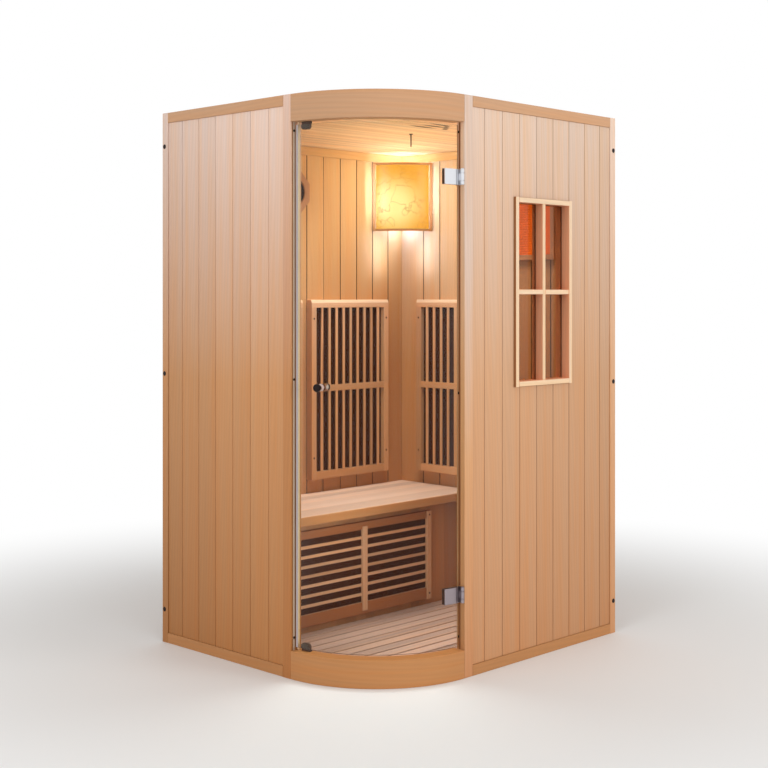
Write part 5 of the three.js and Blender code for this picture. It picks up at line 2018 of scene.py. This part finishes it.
@dataclass
class Fittings:
    """The speaker, the light panel, and the control panel with its three keys."""

    bezel_rounding: float = 4 * MM
    panel_frame: float = 20 * MM
    panel_rounding: float = 2 * MM
    ribs: int = 26
    rib: float = 5 * MM
    # How far the ribs stand proud of the diffuser, and how far they go into it.
    rib_depth: Pair = (2.5 * MM, 1 * MM)
    rib_rounding: float = 0.8 * MM
    case_rounding: float = 2 * MM
    display_margin: float = 14 * MM
    display_bottom: float = 62 * MM
    display_depth: Pair = (1 * MM, 0.8 * MM)
    display_rounding: float = 0.4 * MM
    key_rounding: float = 1 * MM
    sign_lift: float = 0.1 * MM
    sign_half: float = 0.25 * MM
    sign_rounding: float = 0.15 * MM

    def build(self) -> None:
        """Build the speaker, the light panel and the control panel."""
        self.speaker()
        self.light_panel()
        self.control_panel()

    def speaker(self) -> None:
        """Build the eight-sided bezel and the driver."""
        bezel = cad_copy("speaker_bezel", self.bezel_rounding, 2, 60)
        give_grain(bezel, Axis.Z, Axis.X, "bezel")
        place("eight_sided_bezel", bezel, RAIL, Slot.HEMLOCK, "speaker_bezel")
        low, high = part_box("speaker_driver")
        rim, deep = (high.x - low.x) / 2, high.y - low.y
        profile = [(0.0, 0.0), (rim, 0.0)]
        profile += [(rim - inset * MM, deep - back * MM) for inset, back in DRIVER_ROLL]
        profile += [(share * rim, deep - back * MM) for share, back in DRIVER_CONE]
        middle = centre_of("speaker_driver")
        mesh = lathe(profile, Vector((middle.x, high.y, middle.z)), FRONT, 40, DRIVER_PAPER)
        place("speaker_cone", mesh, (BLACK_ABS, PAPER_CONE), Slot.BLACK_PLASTIC, "speaker_driver")

    def light_panel(self) -> None:
        """Build the frame and the ribs, and dress the diffuser behind them."""
        node = "light_panel_frame"
        bars = surround(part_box(node), Axis.Y, self.panel_frame)
        place_bars("light_panel_bars", "light panel", bars, WOOD, self.panel_rounding, node)
        dress(ORANGE, "light_panel_diffuser")
        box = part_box("light_panel_diffuser")
        proud, inside = self.rib_depth
        face = slab(box, Axis.X, box[0].x - proud, box[0].x + inside)
        ribs = slat_row(face, Axis.Z, Axis.Y, self.ribs, self.rib)
        place_bars("light_panel_ribs", "ribs", ribs, ORANGE, self.rib_rounding, slot=Slot.ORANGE)

    def control_panel(self) -> None:
        """Build the case, its display, and the keys with their raised signs."""
        node, slot = "control_panel", Slot.BLACK_PLASTIC
        place_copy("control_panel_case", node, BLACK_ABS, slot, self.case_rounding, 3, 60)
        low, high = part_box(node)
        margin = self.display_margin
        inside, proud = self.display_depth
        pane = (
            Vector((low.x + margin, high.y - inside, low.z + self.display_bottom)),
            Vector((high.x - margin, high.y + proud, high.z - margin)),
        )
        bars = [Bar.filling(pane, Axis.X)]
        place_bars("control_display", "display", bars, DISPLAY, self.display_rounding, slot=slot)
        slot = Slot.GREY_PLASTIC
        for key, strokes in SIGNS.items():
            place_copy(key + "_key", key, GREY_ABS, slot, self.key_rounding, 3, body=key)
            bars = [self.stroke(key, *numbers) for numbers in strokes]
            place_bars(key + "_mark", key, bars, MARK, self.sign_rounding, slot=slot, body=key)

    def stroke(self, key: str, across: float, up: float, wide: float, tall: float) -> Bar:
        """One stroke of the sign on a key.

        Args:
            key: The key's node.
            across: Where its middle lies across from the key's middle, in millimetres.
            up: Where its middle lies up from the key's middle, in millimetres.
            wide: Its width in millimetres.
            tall: Its height in millimetres.

        Returns:
            The stroke, on the face of the key.
        """
        middle = centre_of(key) + Vector((across * MM, 0.0, up * MM))
        middle.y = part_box(key)[1].y + self.sign_lift
        half = Vector((wide * MM / 2, self.sign_half, tall * MM / 2))
        return Bar.filling((middle - half, middle + half), Axis.X if wide > tall else Axis.Z)


@dataclass(frozen=True)
class Lamp:
    """A studio lamp: a flat one that points at a target, or a round one where it has none."""

    name: str
    spot: Vector
    power: float
    colour: str = "#FFFFFF"
    target: Vector | None = None
    size: Pair = (20 * MM, 20 * MM)
    spread: float = 180.0

    def hang(self) -> None:
        """Put the lamp into the scene, out of sight of camera, metal and glass."""
        light = bpy.data.lights.new(self.name, "POINT" if self.target is None else "AREA")
        light.color = linear(self.colour)[:3]
        light.energy = self.power
        holder = bpy.data.objects.new(self.name, light)
        holder.location = self.spot
        if self.target is None:
            light.shadow_soft_size = self.size[0]
        else:
            light.shape = "ELLIPSE"
            light.size, light.size_y = self.size
            light.spread = math.radians(self.spread)
            holder.rotation_euler = (self.target - self.spot).to_track_quat("-Z", "Y").to_euler()
        holder.visible_camera = False
        holder.visible_glossy = False
        holder.visible_transmission = False
        bpy.context.scene.collection.objects.link(holder)


@dataclass
class Studio:
    """A pale floor that fades into white, soft light, and a camera at the photograph's place."""

    eye: Point = (-3.5667, -3.4335, 1.247)
    look: Pair = (0.716, 0.698)
    focal_pixels: float = 1357.0
    image: float = 768.0
    horizon: float = 295.0
    sensor: float = 36.0
    ambient: float = 0.62
    floor_radius: float = 14.0

    def build(self) -> None:
        """Build floor, light and camera."""
        self.floor()
        self.world()
        self.room_lamps()
        self.corner_lamps()
        self.camera()

    def floor(self) -> None:
        """Build the floor."""
        shape = bmesh.new()
        bmesh.ops.create_circle(shape, cap_ends=True, radius=self.floor_radius, segments=96)
        mesh = mesh_of(shape, "studio_floor")
        floor = bpy.data.objects.new("studio_floor", mesh)
        bpy.context.scene.collection.objects.link(floor)
        mesh.materials.append(StudioVinyl("pale_studio_floor").material())

    def world(self) -> None:
        """Light the scene evenly, and show white behind it."""
        world = bpy.data.worlds.new("studio")
        bpy.context.scene.world = world
        world.use_nodes = True
        world.node_tree.nodes.clear()
        graph = Graph(world.node_tree)
        soft, white = (
            graph.add("ShaderNodeBackground", {"Color": WHITE, "Strength": strength}).outputs[0]
            for strength in (self.ambient, 1.0)
        )
        graph.add("ShaderNodeOutputWorld", {"Surface": graph.blend(graph.seen(), soft, white)})

    def room_lamps(self) -> None:
        """Hang wide soft lamps in front and above, and three soft ones in the cabin."""
        cabin = Vector((0.0, 0.0, 0.9))
        doorway = Vector((-0.34, -0.28, 0.45))
        inside = Vector((0.0, -0.05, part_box("ceiling_trim")[0].z))
        wide = (4.5, 4.5)
        for lamp in (
            Lamp("key", Vector((3.2, -8.5, 1.9)), 375.0, target=cabin, size=wide),
            Lamp("fill", Vector((-8.0, -1.5, 2.4)), 200.0, target=cabin, size=wide),
            Lamp("above", Vector((-1.2, -1.2, 5.0)), 25.0, target=cabin, size=(2.0, 2.0)),
            Lamp("inside", inside, 7.2, "#F6F9FF", Vector((0.05, 0, 0)), (0.7, 0.7), 110),
            Lamp("uplight", Vector((0, -0.1, 1.2)), 1.1, "#FFE2C0", Vector((0, -0.1, 1.9)), (0.5, 0.5), 90),
            Lamp("doorway", doorway, 0.9, target=Vector((0.2, 0.32, 0.35)), size=(0.4, 0.5), spread=120),
        ):
            lamp.hang()

    def corner_lamps(self) -> None:
        """Hang the small lamps that throw the corner lamp's light on to the walls and the ceiling."""
        low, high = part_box("lamp_frame")
        bulb = centre_of("lamp_bulb")
        corner = Vector((high.x, high.y, bulb.z))
        left, right = Vector((low.x, high.y, bulb.z)), Vector((high.x, low.y, bulb.z))
        # Below the frame, a little in from its sides, the walls shine.
        inset, drop = 0.04, 0.09
        under_left = Vector((low.x + inset, high.y, low.z - drop))
        under_right = Vector((high.x, low.y + inset, low.z - drop))
        tall, short = (0.02, 0.26), (0.04, 0.18)
        for lamp in (
            Lamp("left_of_lamp", left + Vector((-0.03, -0.05, 0)), 0.4, "#D2E0FF", corner, tall),
            Lamp("below_left", under_left + Vector((0, -0.06, 0)), 0.16, "#BCD6FF", under_left, short),
            Lamp("below_right", under_right + Vector((-0.06, 0, 0)), 0.12, "#BCD6FF", under_right, short),
            Lamp("right_of_lamp", right + Vector((-0.05, -0.03, 0)), 0.22, "#E6EEFF", corner, tall),
            Lamp("above_bulb", bulb + Vector((0, 0, 0.075)), 1.3, "#DCE6FF"),
            Lamp("below_bulb", bulb + Vector((0, 0, -0.15)), 0.75, "#B8CEFF"),
            Lamp("lamp_glow", bulb + Vector((-0.2, -0.2, -0.03)), 2.3, "#FFF6EA", size=(0.08, 0.08)),
        ):
            lamp.hang()

    def camera(self) -> None:
        """Set the level camera, with the shift that the photograph's framing needs."""
        lens = bpy.data.cameras.new("photo_view")
        lens.sensor_fit = "HORIZONTAL"
        lens.sensor_width = self.sensor
        lens.lens = self.focal_pixels / self.image * self.sensor
        lens.shift_y = (self.horizon - self.image / 2) / self.image
        holder = bpy.data.objects.new("photo_view", lens)
        holder.location = self.eye
        holder.rotation_euler = (math.pi / 2, 0.0, math.atan2(-self.look[0], self.look[1]))
        bpy.context.scene.collection.objects.link(holder)
        bpy.context.scene.camera = holder


def main() -> None:
    """Build the studio and every sub-assembly in order."""
    logging.basicConfig(level=logging.INFO, format="%(name)s: %(message)s")
    bpy.context.scene.view_settings.view_transform = "Standard"
    Studio().build()
    doorway = Doorway()
    parts = [
        WallPanel("left_wall", Axis.Y, LEFT, (False, True), SHADED_SIDE_HONEY, cap_levels=(1.780, 0.965, 0.118)),
        WallPanel("window_wall", Axis.X, FRONT, (False, True), LIT_SIDE_ROSE, cap_levels=(1.780, 0.928, 0.118)),
        WallPanel("bench_wall", Axis.X, -FRONT, (True, True), lining=LAMPLIT_GOLDEN),
        WallPanel("side_wall", Axis.Y, -LEFT, (True, True), lining=LAMPLIT_PALE_GOLD),
        doorway,
        GlassDoor(doorway.centre, doorway.radius),
        Window(),
        Floor(doorway.centre, doorway.radius),
        Roof(),
        Bench(),
        BackGuard("right_back_heater", Axis.X, FRONT),
        BackGuard("left_back_heater", Axis.X, FRONT),
        BackGuard("side_heater", Axis.Y, LEFT),
        FootGuard("foot_heater", Axis.X, FRONT),
        CornerLamp(),
        Fittings(),
    ]
    for part in parts:
        LOG.info("building %s", type(part).__name__)
        part.build()


if __name__ == "__main__":
    main()
